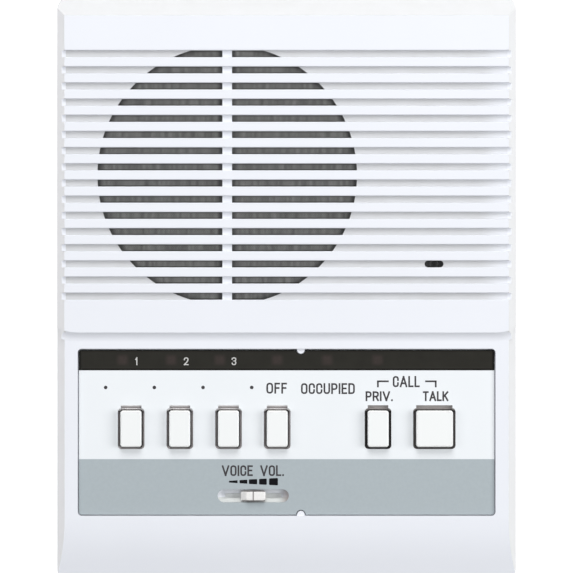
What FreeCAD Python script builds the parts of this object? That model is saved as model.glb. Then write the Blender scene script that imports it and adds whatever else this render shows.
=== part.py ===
"""Desk intercom lying on its back: +X to the right, +Y to its top end, +Z out of its face. Millimetres."""
import FreeCAD, Part
import math
import os

V = FreeCAD.Vector

# ---- case ----
UNIT_WIDTH = 160.5
UNIT_LENGTH = 208.0
CASE_DEPTH = 50.0
COVER_HEIGHT = 12.0
CASE_WALL = 2.4
CORNER_R = 6.0
SEAM_GAP = 0.4
BEVEL_ANGLE = 50.5
SIDE_BEVEL = 2.8
TOP_BEVEL = 8.5
STEP_Y = -15.04
STEP_DROP = 1.4
COVE_ANGLE = 48.0
STEP_END_RUN = 7.6
STEP_END_R = 18.0
ROLL_R = 56.0
ROLL_ANGLE = 14.0
ROLL_MARGIN = 1.4

# ---- grille ----
GRILLE_X = -20.74
GRILLE_Y = 39.86
GRILLE_R = 45.3
SLOT_COUNT = 16
SLOT_PITCH = 5.638
SLOT_HEIGHT = 2.39
GROOVE_DEPTH = 1.2
GROOVE_EASE = 0.2
RIB_WIDTH = 3.33
MIC_X = 51.45
ROWS_ABOVE_MIC = 13
MIC_SLOT = 6.6

# ---- control panel: a smoked window strip above a printed plate, in a tray ----
PANEL_WIDTH = 145.8
PANEL_HEIGHT = 58.3
PANEL_MARGIN = 2.54
PANEL_DEPTH = 2.3
PANEL_CORNER = 1.4
PLATE_THICK = 1.5
PLATE_CLEAR = 0.4
WINDOW_HEIGHT = 7.52
WINDOW_CLEAR = 0.05
TRAY_THICK = 2.0
TRAY_WALL = 1.6
TAB_X = 5.0
TAB_WIDTH = 2.6
TAB_LENGTH = 1.7
TAB_PROUD = 0.2
TAB_CLEAR = 0.35

# ---- keys ----
BANK_KEYS = ("station_1", "station_2", "station_3", "off")
CALL_KEYS = ("privacy", "talk")
KEY_DROP = 27.88
KEY_PITCH = 17.0
FIRST_KEY_X = -54.28
PRIVACY_X = 31.92
TALK_X = 51.59
KEY_OPENING_WIDTH = 9.3
KEY_OPENING_HEIGHT = 14.3
TALK_OPENING_WIDTH = 14.8
OPENING_CORNER = 1.3
NOTCH_INSET = 1.05
NOTCH_HEIGHT = 1.0
NOTCH_DEPTH = 0.6
KEY_CLEAR = 0.8
KEY_SIDE_CLEAR = 1.0
KEY_PROUD = 2.8
KEY_TRAVEL = 3.0
KEY_WALL = 1.2
KEY_EDGE_R = 0.5
KEY_GUIDE_CLEAR = 0.35
FLANGE_WIDTH = 1.3
FLANGE_THICK = 1.2
FLANGE_GAP = 0.3
STEM_WIDTH = 4.0
STEM_HEIGHT = 4.2
STEM_CLEAR = 0.2
STEM_FIT = 0.05
FOOT_GAP = 0.2

# ---- switches under the keys ----
SPRING_LENGTH = 6.6
SPRING_R = 3.7
SPRING_WIRE_R = 0.25
SPRING_TURNS = 4
SPRING_SIDES = 8
SPRING_GAP = 0.03
SWITCH_SPAN = 13.0
SWITCH_WALL = 1.0
PRIVACY_SWITCH_WIDTH = 11.0
TALK_SWITCH_WIDTH = 14.0
BAR_WIDTH = 8.0
BAR_THICK = 1.0
BAR_CLEAR = 0.1
BAR_OVERHANG = 2.0
BAR_WINDOW_WIDTH = 7.0
BAR_WINDOW_HEIGHT = 5.0
LEAF_WIDTH = 5.0
LEAF_THICK = 0.4
LEAF_FOOT = 3.5

# ---- volume control ----
VOLUME_X = -11.64
VOLUME_DROP = 51.38
CHANNEL_LENGTH = 24.9
CHANNEL_WIDTH = 4.6
DISH_DEPTH = 1.1
VOLUME_TRAVEL = 7.5
KNOB_LENGTH = 8.6
KNOB_WIDTH = 3.7
KNOB_BASE = 1.8
KNOB_GAP = 0.1
KNOB_TOP_LENGTH = 6.8
KNOB_TOP_WIDTH = 3.2
KNOB_TOP = 1.2
KNOB_TOP_INSET = 0.4
KNOB_CORNER = 0.8
KNOB_EDGE_R = 0.4
KNOB_SLOPE = 1.3
KNOB_MARK = 0.5
KNOB_MARK_DEPTH = 0.3
SOCKET_DEPTH = 1.6
SOCKET_CLEAR = 0.1
LEVER_LENGTH = 4.0
LEVER_WIDTH = 1.0
LEVER_CLEAR = 0.3
SHIELD_WIDTH = 4.0
SHIELD_THICK = 0.5
SHIELD_GAP = 0.1
SHIELD_OVERLAP = 1.0
FADER_LENGTH = 35.0
FADER_WIDTH = 7.5
FADER_HEIGHT = 6.5
FADER_SLOT = 3.0

# ---- lamps ----
LAMP_XS = (-57.3, -40.3, -23.3, -3.3, 14.2, 31.7)
LAMP_LIGHT_WIDTH = 4.2
LAMP_LIGHT_HEIGHT = 3.6
LAMP_R = 1.5
LAMP_GAP = 0.8
LAMP_COLLAR_R = 1.8
LAMP_COLLAR = 1.0
LAMP_LEG_X = 0.6
LAMP_HOLDER_HEIGHT = 11.0
LAMP_HOLDER_WIDTH = 6.4
LAMP_HOLDER_END = 3.0
LAMP_HOLDER_BORE_R = 1.2

# ---- circuit board ----
BOARD_WIDTH = 140.0
BOARD_THICK = 1.6
BOARD_OVERHANG = 3.7
BOARD_END_CLEAR = 5.6
BOARD_ROOM = 16.3
POST_R = 3.6
POST_INSET = 5.5
CORE_WIDTH = 26.0
CORE_LENGTH = 20.0
CORE_HEIGHT = 13.5
CORE_LIMB = 3.5
CORE_CLEAR = 0.1
CORE_OFFSET = 8.0
CORE_SETBACK = 18.0
LOW_ROW_SETBACK = 8.0
HIGH_ROW_SETBACK = 22.0
WINDING_PROUD = 0.6
SOCKET_LENGTH = 9.0
SOCKET_WIDTH = 3.0
SOCKET_HEIGHT = 4.5
SOCKET_MARGIN = 0.4
LINE_PLUG_HEIGHT = 8.0
CAN_EDGE_R = 0.4
CRIMP_LIFT = 1.8
CRIMP_HEIGHT = 0.8
CRIMP_DEPTH = 0.3

# ---- fasteners ----
SCREW_R = 1.5
SCREW_HEAD_R = 2.8
SCREW_HEAD = 1.8
SCREW_CLEAR = 0.05
SCREW_FREE = 0.2
BOARD_SCREW_GRIP = 7.0
SPEAKER_SCREW_GRIP = 2.8
CASE_SCREW_X = 50.0
CASE_SCREW_LENGTH = 9.0
SCREW_PAD = 2.2
SCREW_PAD_HALF = 5.5
RECESS_REACH = 1.6
RECESS_HALF = 0.3
RECESS_DEPTH = 0.8

# ---- microphone ----
MIC_R = 4.85
MIC_HEIGHT = 6.5
MIC_BOOT_R = 7.0
MIC_BOOT_HEIGHT = 8.0
MIC_PORT_R = 1.5
MIC_PORT_DEPTH = 0.6
MIC_FIT = 0.05
MIC_RING_WALL = 1.4
MIC_RING_HEIGHT = 5.0

# ---- speaker ----
CLOTH_THICK = 0.5
SPEAKER_R = 46.0
SPEAKER_RIM = 1.2
GASKET_R = 42.5
GASKET_THICK = 1.0
BASKET_DEPTH = 15.0
BASKET_WALL = 1.0
BASKET_MOUTH_R = 41.7
BASKET_FOOT_R = 25.0
SPOKE_WIDTH = 12.0
VENT_MARGIN = 3.0
CONE_R = 36.0
CONE_DEPTH = 10.5
CONE_THICK = 0.5
CONE_EDGE = 1.6
SURROUND_THICK = 0.3
SURROUND_RISE = 0.5
SURROUND_HALF = 1.4
CAP_RISE = 3.6
CAP_MARGIN = 1.6
CAP_LIFT = 1.5
COIL_R = 10.0
COIL_WALL = 0.4
COIL_GAP = 0.4
COIL_FOOT_GAP = 0.5
SPIDER_WAVES = 6
SPIDER_WAVE = 0.5
SPIDER_GAP = 0.3
MAGNET_R = 22.5
MAGNET_HOLE_R = 12.0
MAGNET_THICK = 8.0
POLE_R = 21.5
POLE_PLATE_THICK = 3.7
BACK_PLATE_THICK = 2.5
CLAMP_R = 5.2
CLAMP_THICK = 1.0
TAG_LENGTH = 10.0
TAG_WIDTH = 5.0
TAG_THICK = 1.2

# ---- rear cover ----
LIP_THICK = 1.4
LIP_HEIGHT = 3.0
LIP_CLEAR = 0.15
LEDGE_HEIGHT = 2.0
COVER_CHAMFER = 1.2
WALL_SCREW_SPACING = 83.5
WALL_SLOT_WIDTH = 4.6
WALL_SLOT_LENGTH = 9.0
ENTRY_Y = -22.0
ENTRY_LEFT = -28.0
ENTRY_HEIGHT = 16.0
DUCT_X = 38.0
DUCT_WIDTH = 10.0
DUCT_DEPTH = 5.5
FOOT_HEIGHT = 2.0
FOOT_R = 6.0
FOOT_INSET = 14.0
FOOT_POCKET = 0.6
FOOT_EDGE_R = 0.6
HOOK_X = 45.0
HOOK_HALF = 5.0
HOOK_THICK = 2.0
HOOK_NOSE = 1.3
HOOK_NOSE_HEIGHT = 3.0
HOOK_LIFT = 7.0
HOOK_CLEAR = 0.4

# ---- terminal strip ----
TERMINALS = 12
TERMINAL_PITCH = 8.0
TERMINAL_SETBACK = 12.0
TERMINAL_PLATE_WIDTH = 6.0
TERMINAL_PLATE_LENGTH = 9.0
STRIP_WIDTH = 13.0
STRIP_TAIL = 6.4
STRIP_BASE = 4.0
STRIP_POST = 3.6
BARRIER_HEIGHT = 8.0
BARRIER_THICK = 1.2
TERMINAL_PLATE = 0.8

# ---- leads ----
BEND_SHARE = 0.45
SPEAKER_LEAD_R = 0.6
SPEAKER_LEAD_SAG = 3.0
SPEAKER_LEAD_RUN = 7.7
MIC_LEAD_R = 0.45
LEAD_HALF_PITCH = 1.5
LEAD_LIFT = 2.0
HARNESS_R = 1.2
HARNESS_REACH = 11.5
LINE_PLUG_X = 49.0
LINE_PLUG_LENGTH = 16.0
LINE_PLUG_WIDTH = 6.0

# ---- levels that follow ----
HALF_W = UNIT_WIDTH / 2
HALF_L = UNIT_LENGTH / 2
FACE_Z = FOOT_HEIGHT + CASE_DEPTH
LOW_FACE_Z = FACE_Z - STEP_DROP
SEAM_Z = FOOT_HEIGHT + COVER_HEIGHT
SHELL_Z = SEAM_Z + SEAM_GAP
FLOOR_Z = FOOT_HEIGHT + CASE_WALL
GRILLE_Z = FACE_Z - CASE_WALL
LEDGE_Z = LOW_FACE_Z - PANEL_DEPTH
PLATE_Z = LEDGE_Z + PLATE_THICK
TRAY_Z = LEDGE_Z - TRAY_THICK
BOARD_Z = TRAY_Z - BOARD_ROOM
BOARD_BACK_Z = BOARD_Z - BOARD_THICK
KEY_TOP_Z = PLATE_Z + KEY_PROUD
FLANGE_Z = TRAY_Z - FLANGE_GAP
KEY_MOUTH_Z = FLANGE_Z - FLANGE_THICK
SWITCH_Z = KEY_MOUTH_Z - SPRING_LENGTH
STEM_FOOT_Z = BOARD_Z + KEY_TRAVEL + FOOT_GAP
BAR_Z = STEM_FOOT_Z + 2 * FOOT_GAP
KNOB_Z = LEDGE_Z + KNOB_GAP
LAMP_Z = BOARD_Z + LAMP_HOLDER_HEIGHT
MIC_Z = GRILLE_Z - MIC_BOOT_HEIGHT
RIM_Z = GRILLE_Z - CLOTH_THICK - GASKET_THICK
RIM_BACK_Z = RIM_Z - SPEAKER_RIM
BASKET_Z = RIM_Z - BASKET_DEPTH
COIL_TOP_Z = RIM_Z - CONE_DEPTH
MAGNET_Z = BASKET_Z - POLE_PLATE_THICK
MAGNET_BACK_Z = MAGNET_Z - MAGNET_THICK
CASE_SCREW_Z = SHELL_Z + LIP_HEIGHT + SCREW_PAD_HALF
HOOK_Z = SEAM_Z + HOOK_LIFT
HOOK_TOP_Z = HOOK_Z + HOOK_NOSE_HEIGHT
STRIP_Z = FLOOR_Z + STRIP_POST

# ---- places that follow ----
COVE_RUN = STEP_DROP / math.tan(math.radians(COVE_ANGLE / 2))
PANEL_TOP_Y = STEP_Y - COVE_RUN - PANEL_MARGIN
PANEL_LOW_Y = PANEL_TOP_Y - PANEL_HEIGHT
PANEL_Y = (PANEL_TOP_Y + PANEL_LOW_Y) / 2
WINDOW_LOW_Y = PANEL_TOP_Y - WINDOW_HEIGHT
LAMP_Y = PANEL_TOP_Y - WINDOW_HEIGHT / 2
KEY_Y = PANEL_TOP_Y - KEY_DROP
VOLUME_Y = PANEL_TOP_Y - VOLUME_DROP
ROLL_Y = PANEL_LOW_Y - ROLL_MARGIN
MIC_Y = GRILLE_Y + SLOT_PITCH * ((SLOT_COUNT - 1) / 2 - ROWS_ABOVE_MIC)
OFF_X = FIRST_KEY_X + (len(BANK_KEYS) - 1) * KEY_PITCH
FRAME_LEFT = FIRST_KEY_X - SWITCH_SPAN / 2
FRAME_RIGHT = OFF_X + SWITCH_SPAN / 2
BOARD_TOP_Y = PANEL_TOP_Y + BOARD_OVERHANG
BOARD_LOW_Y = CASE_WALL + BOARD_END_CLEAR - HALF_L
BOARD_Y = (BOARD_TOP_Y + BOARD_LOW_Y) / 2
CORE_X = TALK_X - CORE_OFFSET
CORE_Y = BOARD_LOW_Y + CORE_SETBACK
LOW_ROW_Y = BOARD_LOW_Y + LOW_ROW_SETBACK
HIGH_ROW_Y = BOARD_LOW_Y + HIGH_ROW_SETBACK
CHIP_Y = (LAMP_Y - LAMP_HOLDER_WIDTH / 2 + KEY_Y + SWITCH_SPAN / 2) / 2
ENTRY_RIGHT = DUCT_X + DUCT_WIDTH / 2
ENTRY_TOP_Y = ENTRY_Y + ENTRY_HEIGHT / 2
ENTRY_LOW_Y = ENTRY_Y - ENTRY_HEIGHT / 2
STRIP_Y = ENTRY_LOW_Y - TERMINAL_SETBACK
STRIP_HALF = TERMINALS * TERMINAL_PITCH / 2 + BARRIER_THICK / 2
LINE_PLUG_Y = STRIP_Y + STRIP_WIDTH / 2 + HARNESS_REACH
TAG_Y = GRILLE_Y - POLE_R - SCREW_FREE - TAG_WIDTH / 2
SOCKET_Y = BOARD_TOP_Y - SOCKET_MARGIN

# ---- components on the board: x, y, radius and height, or x and y ----
CAPACITORS = (
    (12.0, LOW_ROW_Y, 5.0, 12.5),
    (23.5, LOW_ROW_Y, 4.0, 11.0),
    (14.0, HIGH_ROW_Y, 4.0, 11.0),
    (-48.0, HIGH_ROW_Y, 4.0, 11.0),
    (-58.5, HIGH_ROW_Y, 3.15, 9.0),
    (-40.0, LOW_ROW_Y, 2.5, 7.0),
)
CHIPS = ((-48.0, CHIP_Y), (-14.0, CHIP_Y))
CHIP_LENGTH = 19.3
CHIP_WIDTH = 6.4
CHIP_LIFT = 0.6
CHIP_HEIGHT = 4.0
CHIP_NICK_R = 0.9
CHIP_LEGS = 8
LEG_PITCH = 2.54
LEG_WIDTH = 0.8
LEG_DEPTH = 1.0
RESISTORS = 4
RESISTOR_X = -40.0
RESISTOR_Y = HIGH_ROW_Y
RESISTOR_PITCH = 3.0
RESISTOR_R = 1.1
RESISTOR_LENGTH = 6.4
RESISTOR_TAIL = 2.0
WIRE_R = 0.3


# ---- solids ----
def block(x0, x1, y0, y1, z0, z1):
    return Part.makeBox(x1 - x0, y1 - y0, z1 - z0, V(x0, y0, z0))


def centred(x, y, width, height, z0, z1):
    return block(x - width / 2, x + width / 2, y - height / 2, y + height / 2, z0, z1)


def rod(x, y, radius, z0, z1):
    return Part.makeCylinder(radius, z1 - z0, V(x, y, z0))


def rod_along_y(x, z, radius, y0, y1):
    return Part.makeCylinder(radius, y1 - y0, V(x, y0, z), V(0, 1, 0))


def ring(x, y, outer, inner, z0, z1):
    return rod(x, y, outer, z0, z1).cut(rod(x, y, inner, z0 - 1, z1 + 1))


def pad(x, y, width, height, corner, z0, z1):
    """A block with its four upright edges rounded."""
    solid = centred(x, y, width, height, z0, z1)
    upright = [e for e in solid.Edges if abs(e.tangentAt(e.FirstParameter).z) > 0.99]
    return solid.makeFillet(corner, upright)


def obround(x, y, length, width, z0, z1, along):
    """A slot-shaped solid, its length along the direction given."""
    reach = (length - width) / 2
    ends = [rod(x + s * reach * along.x, y + s * reach * along.y, width / 2, z0, z1) for s in (-1, 1)]
    span = V(width, width, 0) + V(along.x, along.y, 0) * (2 * reach - width)
    return joined([centred(x, y, span.x, span.y, z0, z1)] + ends)


def joined(shapes):
    """One solid made of several that meet."""
    return shapes[0].fuse(shapes[1:]).removeSplitter()


def group(shapes):
    """Separate solids that share a node."""
    return Part.makeCompound(shapes)


def outline_face(points):
    return Part.Face(Part.makePolygon(points + points[:1]))


def turned(outline):
    """A solid turned about the speaker's axis from (radius, height) points."""
    face = outline_face([V(GRILLE_X + radius, GRILLE_Y, z) for radius, z in outline])
    return face.revolve(V(GRILLE_X, GRILLE_Y, 0), V(0, 0, 1), 360)


def top_edges(solid):
    """The edges that lie in a solid's highest plane."""
    return [e for e in solid.Edges if e.BoundBox.ZMin > solid.BoundBox.ZMax - 0.01]


def low_edges(solid):
    """The edges that lie in a solid's lowest plane."""
    return [e for e in solid.Edges if e.BoundBox.ZMax < solid.BoundBox.ZMin + 0.01]


def on_both_sides(x):
    return (-x, x)


def at_corners(x, y, reach_x, reach_y):
    """Four places round a centre."""
    return [(x + i * reach_x, y + j * reach_y) for i in (-1, 1) for j in (-1, 1)]


def lead(points, radius):
    """A round lead along straight runs joined by tangent arcs, each as large as its runs allow."""
    edges = []
    start = points[0]
    for before, corner, after in zip(points, points[1:], points[2:]):
        back = before - corner
        ahead = after - corner
        half_turn = (math.pi - back.getAngle(ahead)) / 2
        reach = BEND_SHARE * min(back.Length, ahead.Length)
        bend = reach / math.tan(half_turn)
        into = corner + back.normalize() * reach
        out = corner + ahead.normalize() * reach
        middle = corner + (back + ahead).normalize() * (bend / math.cos(half_turn) - bend)
        edges.append(Part.makeLine(start, into))
        edges.append(Part.Arc(into, middle, out).toShape())
        start = out
    edges.append(Part.makeLine(start, points[-1]))
    section = Part.Wire(Part.makeCircle(radius, points[0], points[1] - points[0]))
    return Part.Wire(edges).makePipeShell([section], True, False)


# ---- the case's form ----
def bevel(edge, run, face_z, inset):
    """The two creases of a bevelled edge as (place, height): at the face, and at the side."""
    slope = math.radians(BEVEL_ANGLE)
    at_face = (edge - run - inset * math.tan(slope / 2), face_z - inset)
    fall = run * math.tan(slope) + inset * math.tan(math.pi / 4 - slope / 2)
    return at_face, (edge - inset, face_z - fall)


def cross_form(face_z, inset, z_low):
    """The case's cross-section, bevelled along both sides, drawn out along Y."""
    at_face, at_side = bevel(HALF_W, SIDE_BEVEL, face_z, inset)
    right = [at_face, at_side, (at_side[0], z_low)]
    outline = [(-x, z) for x, z in reversed(right)] + right
    face = outline_face([V(x, -UNIT_LENGTH, z) for x, z in outline])
    return face.extrude(V(0, 2 * UNIT_LENGTH, 0))


def plan_form(inset, z_low):
    width = UNIT_WIDTH - 2 * inset
    length = UNIT_LENGTH - 2 * inset
    return pad(0, 0, width, length, CORNER_R - inset, z_low, FACE_Z + 1)


def high_form(inset, z_low):
    """The part of the case with the grille, down to the step."""
    at_face, at_end = bevel(HALF_L, TOP_BEVEL, FACE_Z, inset)
    step_y = STEP_Y + inset
    outline = [(step_y, z_low), (step_y, FACE_Z - inset), at_face, at_end, (at_end[0], z_low)]
    face = outline_face([V(-UNIT_WIDTH, y, z) for y, z in outline])
    side = face.extrude(V(2 * UNIT_WIDTH, 0, 0))
    return side.common(plan_form(inset, z_low)).common(cross_form(FACE_Z, inset, z_low))


def low_form(inset, z_low):
    """The part of the case round the control panel, rolled down to its near end."""
    tilt = math.radians(ROLL_ANGLE)
    radius = ROLL_R - inset
    x = -UNIT_WIDTH

    def on_roll(angle):
        drop = ROLL_R - radius * math.cos(angle)
        return V(x, ROLL_Y - radius * math.sin(angle), LOW_FACE_Z - drop)

    start, middle, end = on_roll(0), on_roll(tilt / 2), on_roll(tilt)
    edge_y = inset - HALF_L
    back_y = STEP_Y + 2 * CASE_WALL
    edge = V(x, edge_y, end.z - (end.y - edge_y) * math.tan(tilt))
    corners = [end, edge, V(x, edge_y, z_low), V(x, back_y, z_low), V(x, back_y, start.z), start]
    edges = [Part.Arc(start, middle, end).toShape()]
    edges += [Part.makeLine(a, b) for a, b in zip(corners, corners[1:])]
    side = Part.Face(Part.Wire(edges)).extrude(V(2 * UNIT_WIDTH, 0, 0))
    return side.common(plan_form(inset, z_low)).common(cross_form(LOW_FACE_Z, inset, z_low))


def step_line():
    """The line where the high face steps down, swept up a little at both ends."""
    straight = HALF_W - STEP_END_RUN
    sweep = math.asin(min(0.9, (STEP_END_RUN + 2.0) / STEP_END_R))

    def at(side, angle):
        x = straight + STEP_END_R * math.sin(angle)
        return V(side * x, STEP_Y + STEP_END_R * (1 - math.cos(angle)), FACE_Z)

    left = Part.Arc(at(-1, sweep), at(-1, sweep / 2), at(-1, 0)).toShape()
    right = Part.Arc(at(1, 0), at(1, sweep / 2), at(1, sweep)).toShape()
    return [left, Part.makeLine(at(-1, 0), at(1, 0)), right]


def beyond_step():
    """The space on the near side of the step line."""
    line = step_line()
    first = line[0].Vertexes[0].Point
    last = line[-1].Vertexes[-1].Point
    away = V(0, -STEP_END_R, 0)
    closing = [(last, last + away), (last + away, first + away), (first + away, first)]
    wire = Part.Wire(line + [Part.makeLine(a, b) for a, b in closing])
    return Part.Face(wire).extrude(V(0, 0, -2 * CASE_DEPTH))


def cove():
    """The hollow slope from the step line down to the low face, trimmed by the case's form."""
    angle = math.radians(COVE_ANGLE)
    radius = COVE_RUN / math.sin(angle)
    path = Part.Wire(step_line())
    start = path.Vertexes[0].Point
    heading = path.Edges[0].tangentAt(path.Edges[0].FirstParameter)
    outward = V(heading.y, -heading.x, 0)
    sunk = V(0, 0, -0.3)

    def on_cove(turn):
        rise = radius * (1 - math.cos(turn)) - STEP_DROP
        return start + outward * (COVE_RUN - radius * math.sin(turn)) + V(0, 0, rise)

    toe = on_cove(0)
    root = start + V(0, 0, -STEP_DROP)
    corners = [start, root + sunk, toe + sunk, toe]
    edges = [Part.Arc(toe, on_cove(angle / 2), on_cove(angle)).toShape()]
    edges += [Part.makeLine(a, b) for a, b in zip(corners, corners[1:])]
    slope = path.makePipeShell([Part.Wire(edges)], True, False)
    return slope.common(plan_form(0, SEAM_Z)).common(cross_form(FACE_Z, 0, SEAM_Z))


# ---- front shell ----
def row_y(row):
    """The centre line of one grille row, counted from the top."""
    return GRILLE_Y + SLOT_PITCH * ((SLOT_COUNT - 1) / 2 - row)


def groove(row):
    """One groove across the whole face, its two upper edges eased."""
    half = SLOT_HEIGHT / 2
    wide = half + GROOVE_EASE
    upper = [(wide, 1.0), (wide, 0.0), (half, -GROOVE_EASE), (half, -GROOVE_DEPTH)]
    lower = [(-y, z) for y, z in reversed(upper)]
    face = outline_face([V(-UNIT_WIDTH, row_y(row) + y, FACE_Z + z) for y, z in upper + lower])
    return face.extrude(V(2 * UNIT_WIDTH, 0, 0))


def grille_slots():
    """The openings that let the sound out: the rows inside the circle, less the upright rib."""
    z0, z1 = GRILLE_Z - 1, FACE_Z + 1
    inside = rod(GRILLE_X, GRILLE_Y, GRILLE_R, z0, z1)
    rib = centred(GRILLE_X, GRILLE_Y, RIB_WIDTH, 3 * GRILLE_R, z0 - 1, z1 + 1)
    opening = inside.cut(rib)
    rows = [centred(GRILLE_X, row_y(i), 2 * GRILLE_R, SLOT_HEIGHT, z0, z1) for i in range(SLOT_COUNT)]
    return [row.common(opening) for row in rows]


def key_places():
    """Name, centre and opening width of each key, from left to right."""
    bank = [(name, FIRST_KEY_X + i * KEY_PITCH, KEY_OPENING_WIDTH) for i, name in enumerate(BANK_KEYS)]
    return bank + [("privacy", PRIVACY_X, KEY_OPENING_WIDTH), ("talk", TALK_X, TALK_OPENING_WIDTH)]


def cap_size(opening_width):
    return opening_width - 2 * KEY_SIDE_CLEAR, KEY_OPENING_HEIGHT - 2 * KEY_CLEAR


def tabs(grow, z0, z1):
    """The two round-ended tabs that stand into the panel opening, or their notches when grown."""
    shapes = []
    for edge_y, inward in ((PANEL_TOP_Y, -1), (PANEL_LOW_Y, 1)):
        tip_y = edge_y + inward * (TAB_LENGTH - TAB_WIDTH / 2)
        root_y = edge_y - inward * TRAY_WALL / 2
        radius = TAB_WIDTH / 2 + grow
        low, high = sorted((root_y, tip_y))
        stalk = block(TAB_X - radius, TAB_X + radius, low, high, z0, z1)
        shapes.append(joined([stalk, rod(TAB_X, tip_y, radius, z0, z1)]))
    return shapes


def dish():
    """The hollow under the volume knob: a round trough with round ends."""
    half = CHANNEL_WIDTH / 2
    radius = (half ** 2 + DISH_DEPTH ** 2) / (2 * DISH_DEPTH)
    reach = CHANNEL_LENGTH / 2 - half
    centre = V(VOLUME_X, VOLUME_Y, LEDGE_Z + radius - DISH_DEPTH)
    trough = Part.makeCylinder(radius, 2 * reach, centre - V(reach, 0, 0), V(1, 0, 0))
    return trough.fuse([Part.makeSphere(radius, centre + V(x, 0, 0)) for x in on_both_sides(reach)])


def lever_run():
    """Length of the slot that the volume lever slides in."""
    return 2 * VOLUME_TRAVEL + LEVER_LENGTH + 2 * LEVER_CLEAR


def lever_slot(z0, z1):
    return centred(VOLUME_X, VOLUME_Y, lever_run(), LEVER_WIDTH + 2 * LEVER_CLEAR, z0, z1)


def tray_openings():
    """Openings through the floor under the panel: keys, lamps, and the volume lever in its dish."""
    z0, z1 = TRAY_Z - 1, LEDGE_Z + 1
    cuts = [dish(), lever_slot(z0, z1)]
    for name, x, opening in key_places():
        width, height = [size + 2 * KEY_GUIDE_CLEAR for size in cap_size(opening)]
        cuts.append(pad(x, KEY_Y, width, height, OPENING_CORNER - KEY_CLEAR / 2, z0, z1))
    return cuts + [centred(x, LAMP_Y, LAMP_LIGHT_WIDTH, LAMP_LIGHT_HEIGHT, z0, z1) for x in LAMP_XS]


def board_post_places():
    """Centres of the four posts that the circuit board hangs from."""
    reach_x = BOARD_WIDTH / 2 - POST_INSET
    reach_y = BOARD_TOP_Y - BOARD_Y - POST_INSET
    return at_corners(0, BOARD_Y, reach_x, reach_y)


def speaker_post_places():
    """Centres of the four bosses round the speaker's rim."""
    reach = (SPEAKER_R + POST_R + 0.6) * math.sqrt(0.5)
    return at_corners(GRILLE_X, GRILLE_Y, reach, reach)


def shell_bosses():
    """Posts, rings, pads and tabs moulded on the front shell."""
    into_wall = 0.4
    roof = GRILLE_Z + into_wall
    within = low_form(CASE_WALL - into_wall, BOARD_Z - 1)
    posts = [rod(x, y, POST_R, BOARD_Z, LEDGE_Z - into_wall) for x, y in board_post_places()]
    bosses = [post.common(within) for post in posts]
    bosses += [rod(x, y, POST_R, RIM_BACK_Z, roof) for x, y in speaker_post_places()]
    inner = MIC_BOOT_R + MIC_FIT
    bosses.append(ring(MIC_X, MIC_Y, inner + MIC_RING_WALL, inner, GRILLE_Z - MIC_RING_HEIGHT, roof))
    wall_y = CASE_WALL - HALF_L
    low, high = CASE_SCREW_Z - SCREW_PAD_HALF + into_wall, CASE_SCREW_Z + SCREW_PAD_HALF
    for x in on_both_sides(CASE_SCREW_X):
        left, right = x - SCREW_PAD_HALF, x + SCREW_PAD_HALF
        bosses.append(block(left, right, wall_y - into_wall, wall_y + SCREW_PAD, low, high))
    return bosses + tabs(0, LEDGE_Z - into_wall, PLATE_Z + TAB_PROUD)


def shell_holes():
    """Screw holes, and the pockets for the cover's hooks."""
    pilot = SCREW_R + SCREW_CLEAR
    holes = [rod(x, y, pilot, BOARD_Z - 1, BOARD_Z + BOARD_SCREW_GRIP + 0.5) for x, y in board_post_places()]
    top = RIM_BACK_Z + SPEAKER_SCREW_GRIP + 0.2
    holes += [rod(x, y, pilot, RIM_BACK_Z - 1, top) for x, y in speaker_post_places()]
    outside = -HALF_L - 1
    seat = SCREW_HEAD + SCREW_FREE - HALF_L
    for x in on_both_sides(CASE_SCREW_X):
        holes.append(rod_along_y(x, CASE_SCREW_Z, SCREW_R + SCREW_FREE, outside, outside + 10))
        holes.append(rod_along_y(x, CASE_SCREW_Z, SCREW_HEAD_R + SCREW_FREE, outside, seat))
    inner_y = HALF_L - CASE_WALL
    half = HOOK_HALF + HOOK_CLEAR
    top = HOOK_TOP_Z + HOOK_CLEAR
    for x in on_both_sides(HOOK_X):
        holes.append(block(x - half, x + half, inner_y - 1, inner_y + HOOK_NOSE, HOOK_Z, top))
    return holes


def front_shell():
    high = high_form(0, SHELL_Z).cut(beyond_step())
    shell = high.fuse([low_form(0, SHELL_Z), cove()])
    shell = shell.cut(high_form(CASE_WALL, SHELL_Z - 1).fuse(low_form(CASE_WALL, SHELL_Z - 1)))
    tray_width = PANEL_WIDTH + 2 * TRAY_WALL
    tray_height = PANEL_HEIGHT + 2 * TRAY_WALL
    tray_top = LOW_FACE_Z - CASE_WALL / 2
    tray = pad(0, PANEL_Y, tray_width, tray_height, PANEL_CORNER, TRAY_Z, tray_top)
    opening = pad(0, PANEL_Y, PANEL_WIDTH, PANEL_HEIGHT, PANEL_CORNER, LEDGE_Z, FACE_Z + 1)
    shell = shell.fuse(tray).cut(opening)
    mic_slot = obround(MIC_X, MIC_Y, MIC_SLOT, SLOT_HEIGHT, GRILLE_Z - 1, FACE_Z + 1, V(1, 0, 0))
    grooves = [groove(row) for row in range(SLOT_COUNT)]
    shell = shell.cut(grooves + grille_slots() + [mic_slot] + tray_openings())
    return shell.fuse(shell_bosses()).cut(shell_holes()).removeSplitter()


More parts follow.
